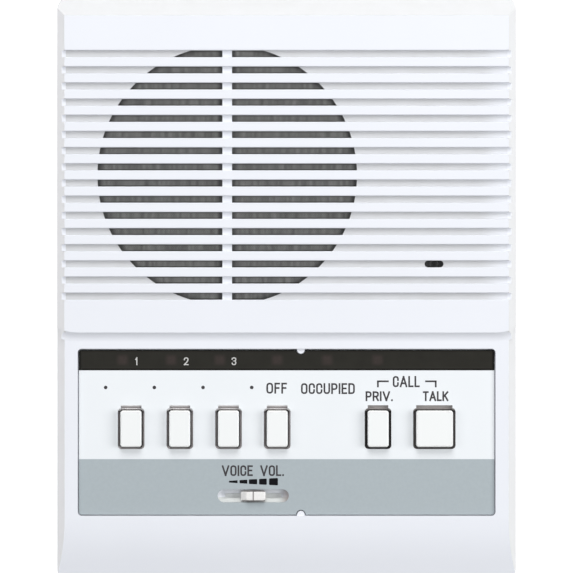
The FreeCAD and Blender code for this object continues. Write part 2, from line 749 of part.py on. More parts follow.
# ---- rear cover ----
def cover_lip():
    """The lip that stands inside the front shell, on a ledge just under the seam."""
    width = UNIT_WIDTH - 2 * CASE_WALL
    length = UNIT_LENGTH - 2 * CASE_WALL
    corner = CORNER_R - CASE_WALL
    top = SEAM_Z + LIP_HEIGHT
    outer = 2 * LIP_CLEAR
    inner = outer + 2 * LIP_THICK
    lip = pad(0, 0, width - outer, length - outer, corner, SEAM_Z - LEDGE_HEIGHT, top)
    ledge = pad(0, 0, width + CASE_WALL, length + CASE_WALL, corner, SEAM_Z - LEDGE_HEIGHT, SEAM_Z)
    hollow = pad(0, 0, width - inner, length - inner, corner - LIP_THICK, FLOOR_Z, top + 1)
    return lip.fuse(ledge).cut(hollow)


def strip_post_places():
    """Centres of the two posts under the terminal strip's tails."""
    reach = STRIP_HALF + STRIP_TAIL / 2
    return [(x, STRIP_Y) for x in on_both_sides(reach)]


def cover_bosses():
    """The roof over the cable duct, the strip's posts, the screw blocks and the hooks."""
    half = DUCT_WIDTH / 2 + TRAY_WALL
    sunk = FLOOR_Z - 0.5
    roof = FOOT_HEIGHT + DUCT_DEPTH + TRAY_WALL
    bosses = [block(DUCT_X - half, DUCT_X + half, ENTRY_TOP_Y, HALF_L - CASE_WALL / 2, sunk, roof)]
    bosses += [rod(x, y, POST_R, sunk, STRIP_Z) for x, y in strip_post_places()]
    near = CASE_WALL + SCREW_PAD + SCREW_FREE - HALF_L
    for x in on_both_sides(CASE_SCREW_X):
        left, right = x - SCREW_PAD_HALF, x + SCREW_PAD_HALF
        bosses.append(block(left, right, near, near + CASE_SCREW_LENGTH, sunk, CASE_SCREW_Z + SCREW_HEAD_R))
    far = HALF_L - CASE_WALL - HOOK_CLEAR
    tip = HALF_L - CASE_WALL + HOOK_NOSE - HOOK_CLEAR
    for x in on_both_sides(HOOK_X):
        bosses.append(block(x - HOOK_HALF, x + HOOK_HALF, far - HOOK_THICK, far, sunk, HOOK_TOP_Z))
        nose_z = HOOK_Z + HOOK_CLEAR
        bosses.append(block(x - HOOK_HALF, x + HOOK_HALF, far - HOOK_THICK, tip, nose_z, HOOK_TOP_Z))
    return bosses


def foot_places():
    return at_corners(0, 0, HALF_W - FOOT_INSET, HALF_L - FOOT_INSET)


def cover_cuts():
    """The line entry and its duct, the wall slots, the foot pockets and the screw holes."""
    below = FOOT_HEIGHT - 1
    duct_top = FOOT_HEIGHT + DUCT_DEPTH
    left, right = DUCT_X - DUCT_WIDTH / 2, DUCT_X + DUCT_WIDTH / 2
    cuts = [block(ENTRY_LEFT, ENTRY_RIGHT, ENTRY_LOW_Y, ENTRY_TOP_Y, below, FLOOR_Z + 1)]
    cuts.append(block(left, right, ENTRY_TOP_Y - 1, HALF_L + 1, below, duct_top))
    length, width = WALL_SLOT_LENGTH, WALL_SLOT_WIDTH
    for y in on_both_sides(WALL_SCREW_SPACING / 2):
        cuts.append(obround(0, ENTRY_Y + y, length, width, below, FLOOR_Z + 1, V(0, 1, 0)))
    cuts += [rod(x, y, FOOT_R + SCREW_FREE, below, FOOT_HEIGHT + FOOT_POCKET) for x, y in foot_places()]
    pilot = SCREW_R + SCREW_CLEAR
    near = CASE_WALL + SCREW_PAD - HALF_L
    for x in on_both_sides(CASE_SCREW_X):
        cuts.append(rod_along_y(x, CASE_SCREW_Z, pilot, near, near + CASE_SCREW_LENGTH - 0.5))
    return cuts + [rod(x, y, pilot, FLOOR_Z, STRIP_Z + 1) for x, y in strip_post_places()]


def rear_cover():
    width = UNIT_WIDTH - 2 * CASE_WALL
    length = UNIT_LENGTH - 2 * CASE_WALL
    base = pad(0, 0, UNIT_WIDTH, UNIT_LENGTH, CORNER_R, FOOT_HEIGHT, SEAM_Z)
    base = base.makeChamfer(COVER_CHAMFER, low_edges(base))
    base = base.cut(pad(0, 0, width, length, CORNER_R - CASE_WALL, FLOOR_Z, SEAM_Z + 1))
    return base.fuse([cover_lip()] + cover_bosses()).cut(cover_cuts()).removeSplitter()


def rubber_feet():
    """Four round feet in their pockets, rounded where they meet the desk."""
    feet = [rod(x, y, FOOT_R, 0, FOOT_HEIGHT + FOOT_POCKET) for x, y in foot_places()]
    return group([foot.makeFillet(FOOT_EDGE_R, low_edges(foot)) for foot in feet])


# ---- fasteners ----
def screw(x, y, seat_z, grip, heading):
    """A pan-head screw, its head on the seat and its shank along +Z or -Z, as heading is 1 or -1."""
    head_z = sorted((seat_z - heading * SCREW_HEAD, seat_z))
    shank_z = sorted((seat_z - heading * SCREW_HEAD / 2, seat_z + heading * grip))
    return joined([rod(x, y, SCREW_HEAD_R, *head_z), rod(x, y, SCREW_R, *shank_z)])


def case_screws():
    """The two cross-recessed screws in the near end."""
    seat = SCREW_HEAD + SCREW_FREE - HALF_L
    outside = seat - SCREW_HEAD
    z = CASE_SCREW_Z
    screws = []
    for x in on_both_sides(CASE_SCREW_X):
        head = rod_along_y(x, z, SCREW_HEAD_R, outside, seat)
        shank = rod_along_y(x, z, SCREW_R, outside + SCREW_HEAD / 2, seat + CASE_SCREW_LENGTH)
        recess = []
        for wide, tall in ((RECESS_REACH, RECESS_HALF), (RECESS_HALF, RECESS_REACH)):
            recess.append(block(x - wide, x + wide, outside - 1, outside + RECESS_DEPTH, z - tall, z + tall))
        screws.append(joined([head, shank]).cut(recess))
    return group(screws)


def inner_screws():
    """The screws that hold the circuit board and the speaker's clamps to the front shell."""
    grip = BOARD_SCREW_GRIP + BOARD_THICK
    screws = [screw(x, y, BOARD_BACK_Z, grip, 1) for x, y in board_post_places()]
    seat = RIM_BACK_Z - CLAMP_THICK
    grip = SPEAKER_SCREW_GRIP + CLAMP_THICK
    return group(screws + [screw(x, y, seat, grip, 1) for x, y in speaker_post_places()])


# ---- control panel ----
def panel_form():
    """The outline that the window strip and the plate share."""
    width = PANEL_WIDTH - 2 * PLATE_CLEAR
    height = PANEL_HEIGHT - 2 * PLATE_CLEAR
    form = pad(0, PANEL_Y, width, height, PANEL_CORNER - PLATE_CLEAR, LEDGE_Z, PLATE_Z)
    return form.cut(tabs(TAB_CLEAR, LEDGE_Z - 1, PLATE_Z + 1))


def indicator_window():
    """The strip of smoked acrylic over the lamps."""
    line = WINDOW_LOW_Y + WINDOW_CLEAR
    beyond = block(-HALF_W, HALF_W, line, line + UNIT_LENGTH, 0, FACE_Z)
    return panel_form().common(beyond).removeSplitter()


def control_panel():
    """The printed plate: key openings, their notches, cut right through at the call keys, and the channel."""
    line = WINDOW_LOW_Y - WINDOW_CLEAR
    plate = panel_form().common(block(-HALF_W, HALF_W, line - UNIT_LENGTH, line, 0, FACE_Z))
    notch_z = PLATE_Z - NOTCH_DEPTH
    z0, z1 = LEDGE_Z - 1, PLATE_Z + 1
    cuts = [obround(VOLUME_X, VOLUME_Y, CHANNEL_LENGTH, CHANNEL_WIDTH, z0, z1, V(1, 0, 0))]
    notch_y = KEY_Y + KEY_OPENING_HEIGHT / 2
    for name, x, opening in key_places():
        cuts.append(pad(x, KEY_Y, opening, KEY_OPENING_HEIGHT, OPENING_CORNER, z0, z1))
        half = opening / 2 - NOTCH_INSET
        foot_z = z0 if name in CALL_KEYS else notch_z
        cuts.append(block(x - half, x + half, notch_y - 1, notch_y + NOTCH_HEIGHT, foot_z, z1))
    return plate.cut(cuts).removeSplitter()


# ---- keys ----
def key_cap(x, opening):
    """A key: hollow, with a flange below that the tray's floor holds in."""
    width, height = cap_size(opening)
    corner = OPENING_CORNER - KEY_CLEAR / 2
    cap = pad(x, KEY_Y, width, height, corner, KEY_MOUTH_Z, KEY_TOP_Z)
    cap = cap.makeFillet(KEY_EDGE_R, top_edges(cap))
    flange = centred(x, KEY_Y, width + 2 * FLANGE_WIDTH, height + 2 * FLANGE_WIDTH, KEY_MOUTH_Z, FLANGE_Z)
    inside_z = KEY_TOP_Z - KEY_WALL
    hollow = centred(x, KEY_Y, width - 2 * KEY_WALL, height - 2 * KEY_WALL, KEY_MOUTH_Z - 1, inside_z)
    return cap.fuse(flange).cut(hollow).removeSplitter()


def key_stem(x, opening):
    """The stem under a key, with a plate that fills the key's mouth and takes the spring."""
    width, height = [size - 2 * KEY_WALL - 2 * STEM_FIT for size in cap_size(opening)]
    post = centred(x, KEY_Y, STEM_WIDTH, STEM_HEIGHT, STEM_FOOT_Z, KEY_TOP_Z - KEY_WALL)
    return joined([post, centred(x, KEY_Y, width, height, KEY_MOUTH_Z, FLANGE_Z)])


def key_spring(x):
    """The coil spring between a switch and its key, wound round the stem."""
    low = SWITCH_Z + SPRING_WIRE_R + SPRING_GAP
    rise = SPRING_LENGTH - 2 * SPRING_WIRE_R - 2 * SPRING_GAP
    steps = SPRING_TURNS * SPRING_SIDES
    points = []
    for i in range(steps + 1):
        angle = 2 * math.pi * i / SPRING_SIDES
        out = V(math.cos(angle), math.sin(angle), 0) * SPRING_R
        points.append(V(x, KEY_Y, low + rise * i / steps) + out)
    return lead(points, SPRING_WIRE_R)


def stem_hole(x, z0, z1):
    return centred(x, KEY_Y, STEM_WIDTH + 2 * STEM_CLEAR, STEM_HEIGHT + 2 * STEM_CLEAR, z0, z1)


def push_switches():
    """The closed bodies of the privacy and talk switches, with guide holes for their stems."""
    bodies = []
    for x, width in ((PRIVACY_X, PRIVACY_SWITCH_WIDTH), (TALK_X, TALK_SWITCH_WIDTH)):
        body = centred(x, KEY_Y, width, SWITCH_SPAN, BOARD_Z, SWITCH_Z)
        bodies.append(body.cut(stem_hole(x, BOARD_Z + FOOT_GAP / 2, SWITCH_Z + 1)))
    return group(bodies)


def bank_xs():
    return [FIRST_KEY_X + i * KEY_PITCH for i in range(len(BANK_KEYS))]


def switch_frame():
    """The steel frame of the latching key bank: a channel with guide holes, open to the board."""
    wall = SWITCH_WALL
    middle = (FRAME_LEFT + FRAME_RIGHT) / 2
    width = FRAME_RIGHT - FRAME_LEFT
    frame = centred(middle, KEY_Y, width, SWITCH_SPAN, BOARD_Z, SWITCH_Z)
    hollow = centred(middle, KEY_Y, width - 2 * wall, SWITCH_SPAN - 2 * wall, BOARD_Z - 1, SWITCH_Z - wall)
    low, high = BAR_Z - BAR_CLEAR, BAR_Z + BAR_THICK + BAR_CLEAR
    bar_slot = centred(middle, KEY_Y, width + 4, BAR_WIDTH + 2 * BAR_CLEAR, low, high)
    holes = [stem_hole(x, SWITCH_Z - 2 * wall, SWITCH_Z + 1) for x in bank_xs()]
    return frame.cut([hollow, bar_slot] + holes).removeSplitter()


def latch_bar():
    """The flat bar that all the bank keys share: it slides along X to let a key go."""
    top = BAR_Z + BAR_THICK
    middle = (FRAME_LEFT + FRAME_RIGHT) / 2
    width = FRAME_RIGHT - FRAME_LEFT + 2 * BAR_OVERHANG
    bar = centred(middle, KEY_Y, width, BAR_WIDTH, BAR_Z, top)
    wide, tall = BAR_WINDOW_WIDTH, BAR_WINDOW_HEIGHT
    return bar.cut([centred(x, KEY_Y, wide, tall, BAR_Z - 1, top + 1) for x in bank_xs()])


def latch_spring():
    """The leaf that pushes the latch bar back: an upright blade on a foot."""
    x = FRAME_RIGHT + BAR_OVERHANG + BAR_CLEAR
    low, high = KEY_Y - LEAF_WIDTH / 2, KEY_Y + LEAF_WIDTH / 2
    blade = block(x, x + LEAF_THICK, low, high, BOARD_Z, BAR_Z + 2 * BAR_THICK)
    return joined([blade, block(x, x + LEAF_FOOT, low, high, BOARD_Z, BOARD_Z + LEAF_THICK)])


# ---- volume control ----
def slot_shield():
    """The strip that rides on the lever just under the dish, so that its slot is always closed."""
    top = TRAY_Z - SHIELD_GAP
    foot = top - SHIELD_THICK
    length = lever_run() + 2 * (VOLUME_TRAVEL + SHIELD_OVERLAP)
    strip = centred(VOLUME_X, VOLUME_Y, length, SHIELD_WIDTH, foot, top)
    return strip.cut(centred(VOLUME_X, VOLUME_Y, LEVER_LENGTH, LEVER_WIDTH, foot - 1, top + 1))


def volume_knob():
    """The slide knob: a low base sloping to its left end, a raised top with a mark, and the slot's shield."""
    base_top = KNOB_Z + KNOB_BASE
    top = base_top + KNOB_TOP
    raised_x = VOLUME_X + (KNOB_LENGTH - KNOB_TOP_LENGTH - KNOB_TOP_INSET) / 2
    shoulder = raised_x - KNOB_TOP_LENGTH / 2
    end = VOLUME_X - KNOB_LENGTH / 2
    fall = KNOB_SLOPE / (shoulder - end)
    above = base_top + 1
    places = ((end - 1, base_top - KNOB_SLOPE - fall), (shoulder + 1 / fall, above), (end - 1, above))
    y = VOLUME_Y - KNOB_WIDTH
    slope = outline_face([V(x, y, z) for x, z in places]).extrude(V(0, 2 * KNOB_WIDTH, 0))
    base = pad(VOLUME_X, VOLUME_Y, KNOB_LENGTH, KNOB_WIDTH, KNOB_CORNER, KNOB_Z, base_top).cut(slope)
    raised = pad(raised_x, VOLUME_Y, KNOB_TOP_LENGTH, KNOB_TOP_WIDTH, KNOB_CORNER, KNOB_Z, top)
    raised = raised.makeFillet(KNOB_EDGE_R, top_edges(raised))
    mark = centred(VOLUME_X, VOLUME_Y, KNOB_MARK, KNOB_WIDTH + 1, top - KNOB_MARK_DEPTH, top + 1)
    length, width = LEVER_LENGTH + SOCKET_CLEAR, LEVER_WIDTH + SOCKET_CLEAR
    socket = centred(VOLUME_X, VOLUME_Y, length, width, KNOB_Z - 1, KNOB_Z + SOCKET_DEPTH)
    return group([base.fuse(raised).cut([mark, socket]).removeSplitter(), slot_shield()])


def volume_lever():
    low = BOARD_Z + FADER_HEIGHT - FADER_SLOT + LEVER_CLEAR
    return centred(VOLUME_X, VOLUME_Y, LEVER_LENGTH, LEVER_WIDTH, low, KNOB_Z + SOCKET_DEPTH)


def volume_fader():
    """The slide control's body on the board, slotted for its lever."""
    top = BOARD_Z + FADER_HEIGHT
    body = centred(VOLUME_X, VOLUME_Y, FADER_LENGTH, FADER_WIDTH, BOARD_Z, top)
    return body.cut(lever_slot(top - FADER_SLOT, top + 1))


# ---- lamps ----
def lamp_holder():
    """The bar that lifts the lamps to the window, drilled for their legs."""
    left, right = LAMP_XS[0] - LAMP_HOLDER_END, LAMP_XS[-1] + LAMP_HOLDER_END
    half = LAMP_HOLDER_WIDTH / 2
    bar = block(left, right, LAMP_Y - half, LAMP_Y + half, BOARD_Z, LAMP_Z)
    return bar.cut([rod(x, LAMP_Y, LAMP_HOLDER_BORE_R, BOARD_Z - 1, LAMP_Z + 1) for x in LAMP_XS])


def indicator_lamps():
    """Six round-topped lamps, each with a collar and two legs."""
    straight = TRAY_Z - LAMP_GAP - LAMP_R
    lamps = []
    for x in LAMP_XS:
        body = rod(x, LAMP_Y, LAMP_R, LAMP_Z, straight)
        dome = Part.makeSphere(LAMP_R, V(x, LAMP_Y, straight))
        collar = rod(x, LAMP_Y, LAMP_COLLAR_R, LAMP_Z, LAMP_Z + LAMP_COLLAR)
        legs = [rod(x + s, LAMP_Y, WIRE_R, BOARD_Z, straight) for s in on_both_sides(LAMP_LEG_X)]
        lamps.append(joined([body, dome, collar] + legs))
    return group(lamps)


# ---- circuit board and its components ----
def main_board():
    board = block(-BOARD_WIDTH / 2, BOARD_WIDTH / 2, BOARD_LOW_Y, BOARD_TOP_Y, BOARD_BACK_Z, BOARD_Z)
    free = SCREW_R + SCREW_FREE
    return board.cut([rod(x, y, free, BOARD_BACK_Z - 1, BOARD_Z + 1) for x, y in board_post_places()])


def core_windows(clear):
    """The two windows of the transformer's core, which the winding fills."""
    width = (CORE_WIDTH - 4 * CORE_LIMB) / 2 - 2 * clear
    height = CORE_LENGTH - 2 * CORE_LIMB - 2 * clear
    reach = CORE_LIMB + width / 2 + clear
    z0, z1 = BOARD_Z - 1, BOARD_Z + CORE_HEIGHT + 1
    return [centred(CORE_X + x, CORE_Y, width, height, z0, z1) for x in on_both_sides(reach)]


def transformer_core():
    core = centred(CORE_X, CORE_Y, CORE_WIDTH, CORE_LENGTH, BOARD_Z, BOARD_Z + CORE_HEIGHT)
    return core.cut(core_windows(0))


def transformer_winding():
    """The winding's two sides, standing a little above and clear of the core."""
    top = BOARD_Z + CORE_HEIGHT + WINDING_PROUD
    trim = centred(CORE_X, CORE_Y, CORE_WIDTH, CORE_LENGTH, BOARD_Z, top)
    return group([window.common(trim) for window in core_windows(CORE_CLEAR)])


def capacitors():
    """Upright electrolytic cans, each crimped near its foot."""
    cans = []
    crimp = BOARD_Z + CRIMP_LIFT
    for x, y, radius, height in CAPACITORS:
        can = rod(x, y, radius, BOARD_Z, BOARD_Z + height)
        can = can.makeFillet(CAN_EDGE_R, top_edges(can))
        cans.append(can.cut(ring(x, y, radius + 1, radius - CRIMP_DEPTH, crimp, crimp + CRIMP_HEIGHT)))
    return group(cans)


def chip(x, y):
    """A plastic chip on its two rows of legs."""
    top = BOARD_Z + CHIP_HEIGHT
    body = centred(x, y, CHIP_LENGTH, CHIP_WIDTH, BOARD_Z + CHIP_LIFT, top)
    body = body.cut(rod(x - CHIP_LENGTH / 2, y, CHIP_NICK_R, top - CHIP_NICK_R, top + 1))
    legs = []
    for i in range(CHIP_LEGS):
        leg_x = x + (i - (CHIP_LEGS - 1) / 2) * LEG_PITCH
        for side in on_both_sides((CHIP_WIDTH + LEG_WIDTH) / 2):
            legs.append(centred(leg_x, y + side, LEG_WIDTH, LEG_DEPTH, BOARD_Z, BOARD_Z + CHIP_HEIGHT / 2))
    return joined([body] + legs)


def resistor(x):
    """A small axial resistor lying on the board, its wires bent down."""
    z = BOARD_Z + RESISTOR_R + WIRE_R
    half = RESISTOR_LENGTH / 2
    body = rod_along_y(x, z, RESISTOR_R, RESISTOR_Y - half, RESISTOR_Y + half)
    reach = half + RESISTOR_TAIL
    wire = rod_along_y(x, z, WIRE_R, RESISTOR_Y - reach, RESISTOR_Y + reach)
    legs = [rod(x, RESISTOR_Y + s, 0.8 * WIRE_R, BOARD_Z, z) for s in on_both_sides(reach - WIRE_R)]
    return joined([body, wire] + legs)


def small_components():
    """The chips and resistors."""
    resistors = [resistor(RESISTOR_X + i * RESISTOR_PITCH) for i in range(RESISTORS)]
    return group([chip(x, y) for x, y in CHIPS] + resistors)


def board_sockets():
    """Three plug housings: speaker and microphone on the board's edge, the lines under it."""
    housings = []
    near = SOCKET_Y - SOCKET_WIDTH
    for x in (GRILLE_X, MIC_X):
        left, right = x - SOCKET_LENGTH / 2, x + SOCKET_LENGTH / 2
        housings.append(block(left, right, near, SOCKET_Y, BOARD_Z, BOARD_Z + SOCKET_HEIGHT))
    low = BOARD_BACK_Z - LINE_PLUG_HEIGHT
    housings.append(centred(LINE_PLUG_X, LINE_PLUG_Y, LINE_PLUG_LENGTH, LINE_PLUG_WIDTH, low, BOARD_BACK_Z))
    return group(housings)


# ---- microphone ----
def microphone_boot():
    """The rubber boot that holds the microphone to its slot."""
    boot = rod(MIC_X, MIC_Y, MIC_BOOT_R, MIC_Z, GRILLE_Z)
    pocket = rod(MIC_X, MIC_Y, MIC_R + MIC_FIT, MIC_Z - 1, MIC_Z + MIC_HEIGHT)
    return boot.cut([pocket, rod(MIC_X, MIC_Y, MIC_PORT_R, MIC_Z, GRILLE_Z + 1)])


def microphone():
    top = MIC_Z + MIC_HEIGHT
    can = rod(MIC_X, MIC_Y, MIC_R, MIC_Z, top)
    return can.cut(rod(MIC_X, MIC_Y, MIC_PORT_R, top - MIC_PORT_DEPTH, GRILLE_Z))


# ---- speaker ----
def speaker_cloth():
    return rod(GRILLE_X, GRILLE_Y, SPEAKER_R, GRILLE_Z - CLOTH_THICK, GRILLE_Z)


def speaker_gasket():
    return ring(GRILLE_X, GRILLE_Y, SPEAKER_R, GASKET_R, RIM_Z, RIM_Z + GASKET_THICK)


def speaker_basket():
    """The pressed frame: rim, four spokes and a flat foot for the magnet."""
    foot_top = BASKET_Z + BASKET_WALL
    mouth, foot = BASKET_MOUTH_R, BASKET_FOOT_R
    inside = [(SPEAKER_R, RIM_Z), (mouth, RIM_Z), (foot - BASKET_WALL, foot_top)]
    hole = [(MAGNET_HOLE_R, foot_top), (MAGNET_HOLE_R, BASKET_Z)]
    outside = [(foot, BASKET_Z), (mouth + BASKET_WALL, RIM_BACK_Z), (SPEAKER_R, RIM_BACK_Z)]
    outline = inside + hole + outside
    z0, z1 = BASKET_Z - 1, RIM_Z + 1
    vents = ring(GRILLE_X, GRILLE_Y, mouth - VENT_MARGIN, foot + VENT_MARGIN, z0, z1)
    span = 2 * SPEAKER_R
    spokes = [centred(GRILLE_X, GRILLE_Y, SPOKE_WIDTH, span, z0 - 1, z1 + 1)]
    spokes.append(centred(GRILLE_X, GRILLE_Y, span, SPOKE_WIDTH, z0 - 1, z1 + 1))
    return turned(outline).cut(vents.cut(spokes)).removeSplitter()


def cone_surround():
    """The roll round the cone, from the basket's rim to the cone's flat edge."""
    outer, inner = GASKET_R - SCREW_FREE, CONE_R - CONE_EDGE
    middle = (BASKET_MOUTH_R + CONE_R) / 2
    half = SURROUND_HALF
    roll = [(middle + half, 0), (middle + half / 2, SURROUND_RISE), (middle - half / 2, SURROUND_RISE)]
    under = [(outer, 0)] + roll + [(middle - half, 0), (inner, 0)]
    over = [(radius, z + SURROUND_THICK) for radius, z in reversed(under)]
    return turned([(radius, RIM_Z + z) for radius, z in under + over])


def speaker_cone():
    """The paper cone, with a flat edge that the surround sits on."""
    neck = COIL_R + COIL_WALL / 2
    t = CONE_THICK
    edge = CONE_R - CONE_EDGE
    front = [(CONE_R, RIM_Z), (edge - t, RIM_Z), (neck, COIL_TOP_Z + t), (neck, COIL_TOP_Z)]
    back = [(neck + t, COIL_TOP_Z), (edge, RIM_Z - t), (CONE_R, RIM_Z - t)]
    return turned(front + back)


def dust_cap():
    """The shallow dome over the coil."""
    low = COIL_TOP_Z + CAP_LIFT
    radius = COIL_R + CAP_MARGIN
    sphere_r = (radius ** 2 + CAP_RISE ** 2) / (2 * CAP_RISE)
    centre = V(GRILLE_X, GRILLE_Y, low + CAP_RISE - sphere_r)
    dome = Part.makeSphere(sphere_r, centre).cut(Part.makeSphere(sphere_r - CONE_THICK, centre))
    return dome.common(rod(GRILLE_X, GRILLE_Y, radius, low, low + CAP_RISE + 1))


def voice_coil():
    half = COIL_WALL / 2
    return ring(GRILLE_X, GRILLE_Y, COIL_R + half, COIL_R - half, MAGNET_Z + COIL_FOOT_GAP, COIL_TOP_Z)


def speaker_spider():
    """The corrugated disc that centres the coil."""
    low = BASKET_Z + BASKET_WALL
    inner, outer = COIL_R + COIL_WALL / 2 + SPIDER_GAP, BASKET_FOOT_R - 1.5 * BASKET_WALL
    pitch = (outer - inner) / SPIDER_WAVES
    under = [(inner + i * pitch, low + SPIDER_WAVE * (i % 2)) for i in range(SPIDER_WAVES + 1)]
    over = [(radius, z + SURROUND_THICK) for radius, z in reversed(under)]
    return turned(under + over)


def speaker_magnet():
    return ring(GRILLE_X, GRILLE_Y, MAGNET_R, MAGNET_HOLE_R, MAGNET_BACK_Z, MAGNET_Z)


def front_pole_plate():
    inner = COIL_R + COIL_WALL / 2 + COIL_GAP
    return ring(GRILLE_X, GRILLE_Y, POLE_R, inner, MAGNET_Z, BASKET_Z)


def back_pole():
    """The back plate and the centre pole that the coil moves round."""
    low = MAGNET_BACK_Z - BACK_PLATE_THICK
    plate = rod(GRILLE_X, GRILLE_Y, POLE_R, low, MAGNET_BACK_Z)
    pole_r = COIL_R - COIL_WALL / 2 - COIL_GAP
    return joined([plate, rod(GRILLE_X, GRILLE_Y, pole_r, low, BASKET_Z)])


def speaker_tag():
    """The solder strip under the basket's foot, beside the pole plate."""
    return centred(GRILLE_X, TAG_Y, TAG_LENGTH, TAG_WIDTH, BASKET_Z - TAG_THICK, BASKET_Z)


def speaker_clamps():
    """Four washers that hold the speaker's rim against its gasket."""
    low = RIM_BACK_Z - CLAMP_THICK
    free = SCREW_R + SCREW_FREE
    return group([ring(x, y, CLAMP_R, free, low, RIM_BACK_Z) for x, y in speaker_post_places()])


# ---- terminal strip ----
def terminal_xs():
    return [(i - (TERMINALS - 1) / 2) * TERMINAL_PITCH for i in range(TERMINALS)]


def terminal_block():
    """The barrier strip that the station lines land on."""
    length = 2 * (STRIP_HALF + STRIP_TAIL)
    base = centred(0, STRIP_Y, length, STRIP_WIDTH, STRIP_Z, STRIP_Z + STRIP_BASE)
    edges = [(i - TERMINALS / 2) * TERMINAL_PITCH for i in range(TERMINALS + 1)]
    top = STRIP_Z + BARRIER_HEIGHT
    barriers = [centred(x, STRIP_Y, BARRIER_THICK, STRIP_WIDTH, STRIP_Z + 1, top) for x in edges]
    free = SCREW_R + SCREW_FREE
    holes = [rod(x, y, free, STRIP_Z - 1, top) for x, y in strip_post_places()]
    holes += [rod(x, STRIP_Y, SCREW_R + SCREW_CLEAR, STRIP_Z + 0.8, top) for x in terminal_xs()]
    return joined([base] + barriers).cut(holes).removeSplitter()


def terminal_hardware():
    """Each terminal's brass plate and clamping screw, and the two screws that hold the strip."""
    seat = STRIP_Z + STRIP_BASE
    top = seat + TERMINAL_PLATE
    pieces = []
    for x in terminal_xs():
        plate = centred(x, STRIP_Y, TERMINAL_PLATE_WIDTH, TERMINAL_PLATE_LENGTH, seat, top)
        pieces.append(plate.cut(rod(x, STRIP_Y, SCREW_R + SCREW_CLEAR, STRIP_Z, top + 1)))
        pieces.append(screw(x, STRIP_Y, top, STRIP_BASE, -1))
    grip = STRIP_BASE + STRIP_POST - 0.5
    return group(pieces + [screw(x, y, seat, grip, -1) for x, y in strip_post_places()])


# ---- leads ----
def speaker_leads():
    """The two leads from the speaker's solder strip to the board, sagging between them."""
    start_y = TAG_Y - TAG_WIDTH / 2
    z = BASKET_Z - TAG_THICK / 2
    end_z = BOARD_Z + LEAD_LIFT
    run = SPEAKER_LEAD_RUN
    path = [(start_y, z), (start_y - run, z), (start_y - 2 * run, z - SPEAKER_LEAD_SAG)]
    path += [(SOCKET_Y + run, end_z), (SOCKET_Y, end_z)]
    xs = [GRILLE_X + side for side in on_both_sides(LEAD_HALF_PITCH)]
    return group([lead([V(x, y, height) for y, height in path], SPEAKER_LEAD_R) for x in xs])


def microphone_leads():
    """The two leads from the microphone's back to the board."""
    end_z = BOARD_Z + LEAD_LIFT
    leads = []
    for side in on_both_sides(LEAD_HALF_PITCH):
        x = MIC_X + side
        leads.append(lead([V(x, MIC_Y, MIC_Z), V(x, MIC_Y, end_z), V(x, SOCKET_Y, end_z)], MIC_LEAD_R))
    return group(leads)


def line_harness():
    """The bundle from the terminal strip up to its plug under the board."""
    x = LINE_PLUG_X
    z = STRIP_Z + STRIP_BASE / 2
    start = V(x, STRIP_Y + STRIP_WIDTH / 2, z)
    return lead([start, V(x, LINE_PLUG_Y, z), V(x, LINE_PLUG_Y, BOARD_BACK_Z - LINE_PLUG_HEIGHT)], HARNESS_R)


# ---- the whole intercom ----
NODES = {
    "front_shell": front_shell,
    "rear_cover": rear_cover,
    "rubber_feet": rubber_feet,
    "case_screws": case_screws,
    "inner_screws": inner_screws,
    "indicator_window": indicator_window,
    "control_panel": control_panel,
    "push_switches": push_switches,
    "switch_frame": switch_frame,
    "latch_bar": latch_bar,
    "latch_spring": latch_spring,
    "volume_knob": volume_knob,
    "volume_lever": volume_lever,
    "volume_fader": volume_fader,
    "lamp_holder": lamp_holder,
    "indicator_lamps": indicator_lamps,
    "main_board": main_board,
    "transformer_core": transformer_core,
    "transformer_winding": transformer_winding,
    "capacitors": capacitors,
    "small_components": small_components,
    "board_sockets": board_sockets,
    "microphone": microphone,
    "microphone_boot": microphone_boot,
    "microphone_leads": microphone_leads,
    "speaker_cloth": speaker_cloth,
    "speaker_gasket": speaker_gasket,
    "speaker_basket": speaker_basket,
    "cone_surround": cone_surround,
    "speaker_cone": speaker_cone,
    "dust_cap": dust_cap,
    "voice_coil": voice_coil,
    "speaker_spider": speaker_spider,
    "speaker_magnet": speaker_magnet,
    "front_pole_plate": front_pole_plate,
    "back_pole": back_pole,
    "speaker_tag": speaker_tag,
    "speaker_clamps": speaker_clamps,
    "speaker_leads": speaker_leads,
    "terminal_block": terminal_block,
    "terminal_hardware": terminal_hardware,
    "line_harness": line_harness,
}


def build():
    """Every node's shape, by name."""
    shapes = {name: make() for name, make in NODES.items()}
    for name, x, opening in key_places():
        shapes[name + "_key"] = key_cap(x, opening)
        shapes[name + "_stem"] = key_stem(x, opening)
        shapes[name + "_spring"] = key_spring(x)
    return shapes


os.makedirs("parts", exist_ok=True)
for node, shape in build().items():
    sound = shape.isValid() and all(solid.isClosed() for solid in shape.Solids)
    print("%-20s %2d solids %10.1f mm3%s" % (node, len(shape.Solids), shape.Volume, "" if sound else " BAD"))
    shape.exportStep("parts/%s.step" % node)
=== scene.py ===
import math

import bmesh
import bpy
from mathutils import Matrix, Vector


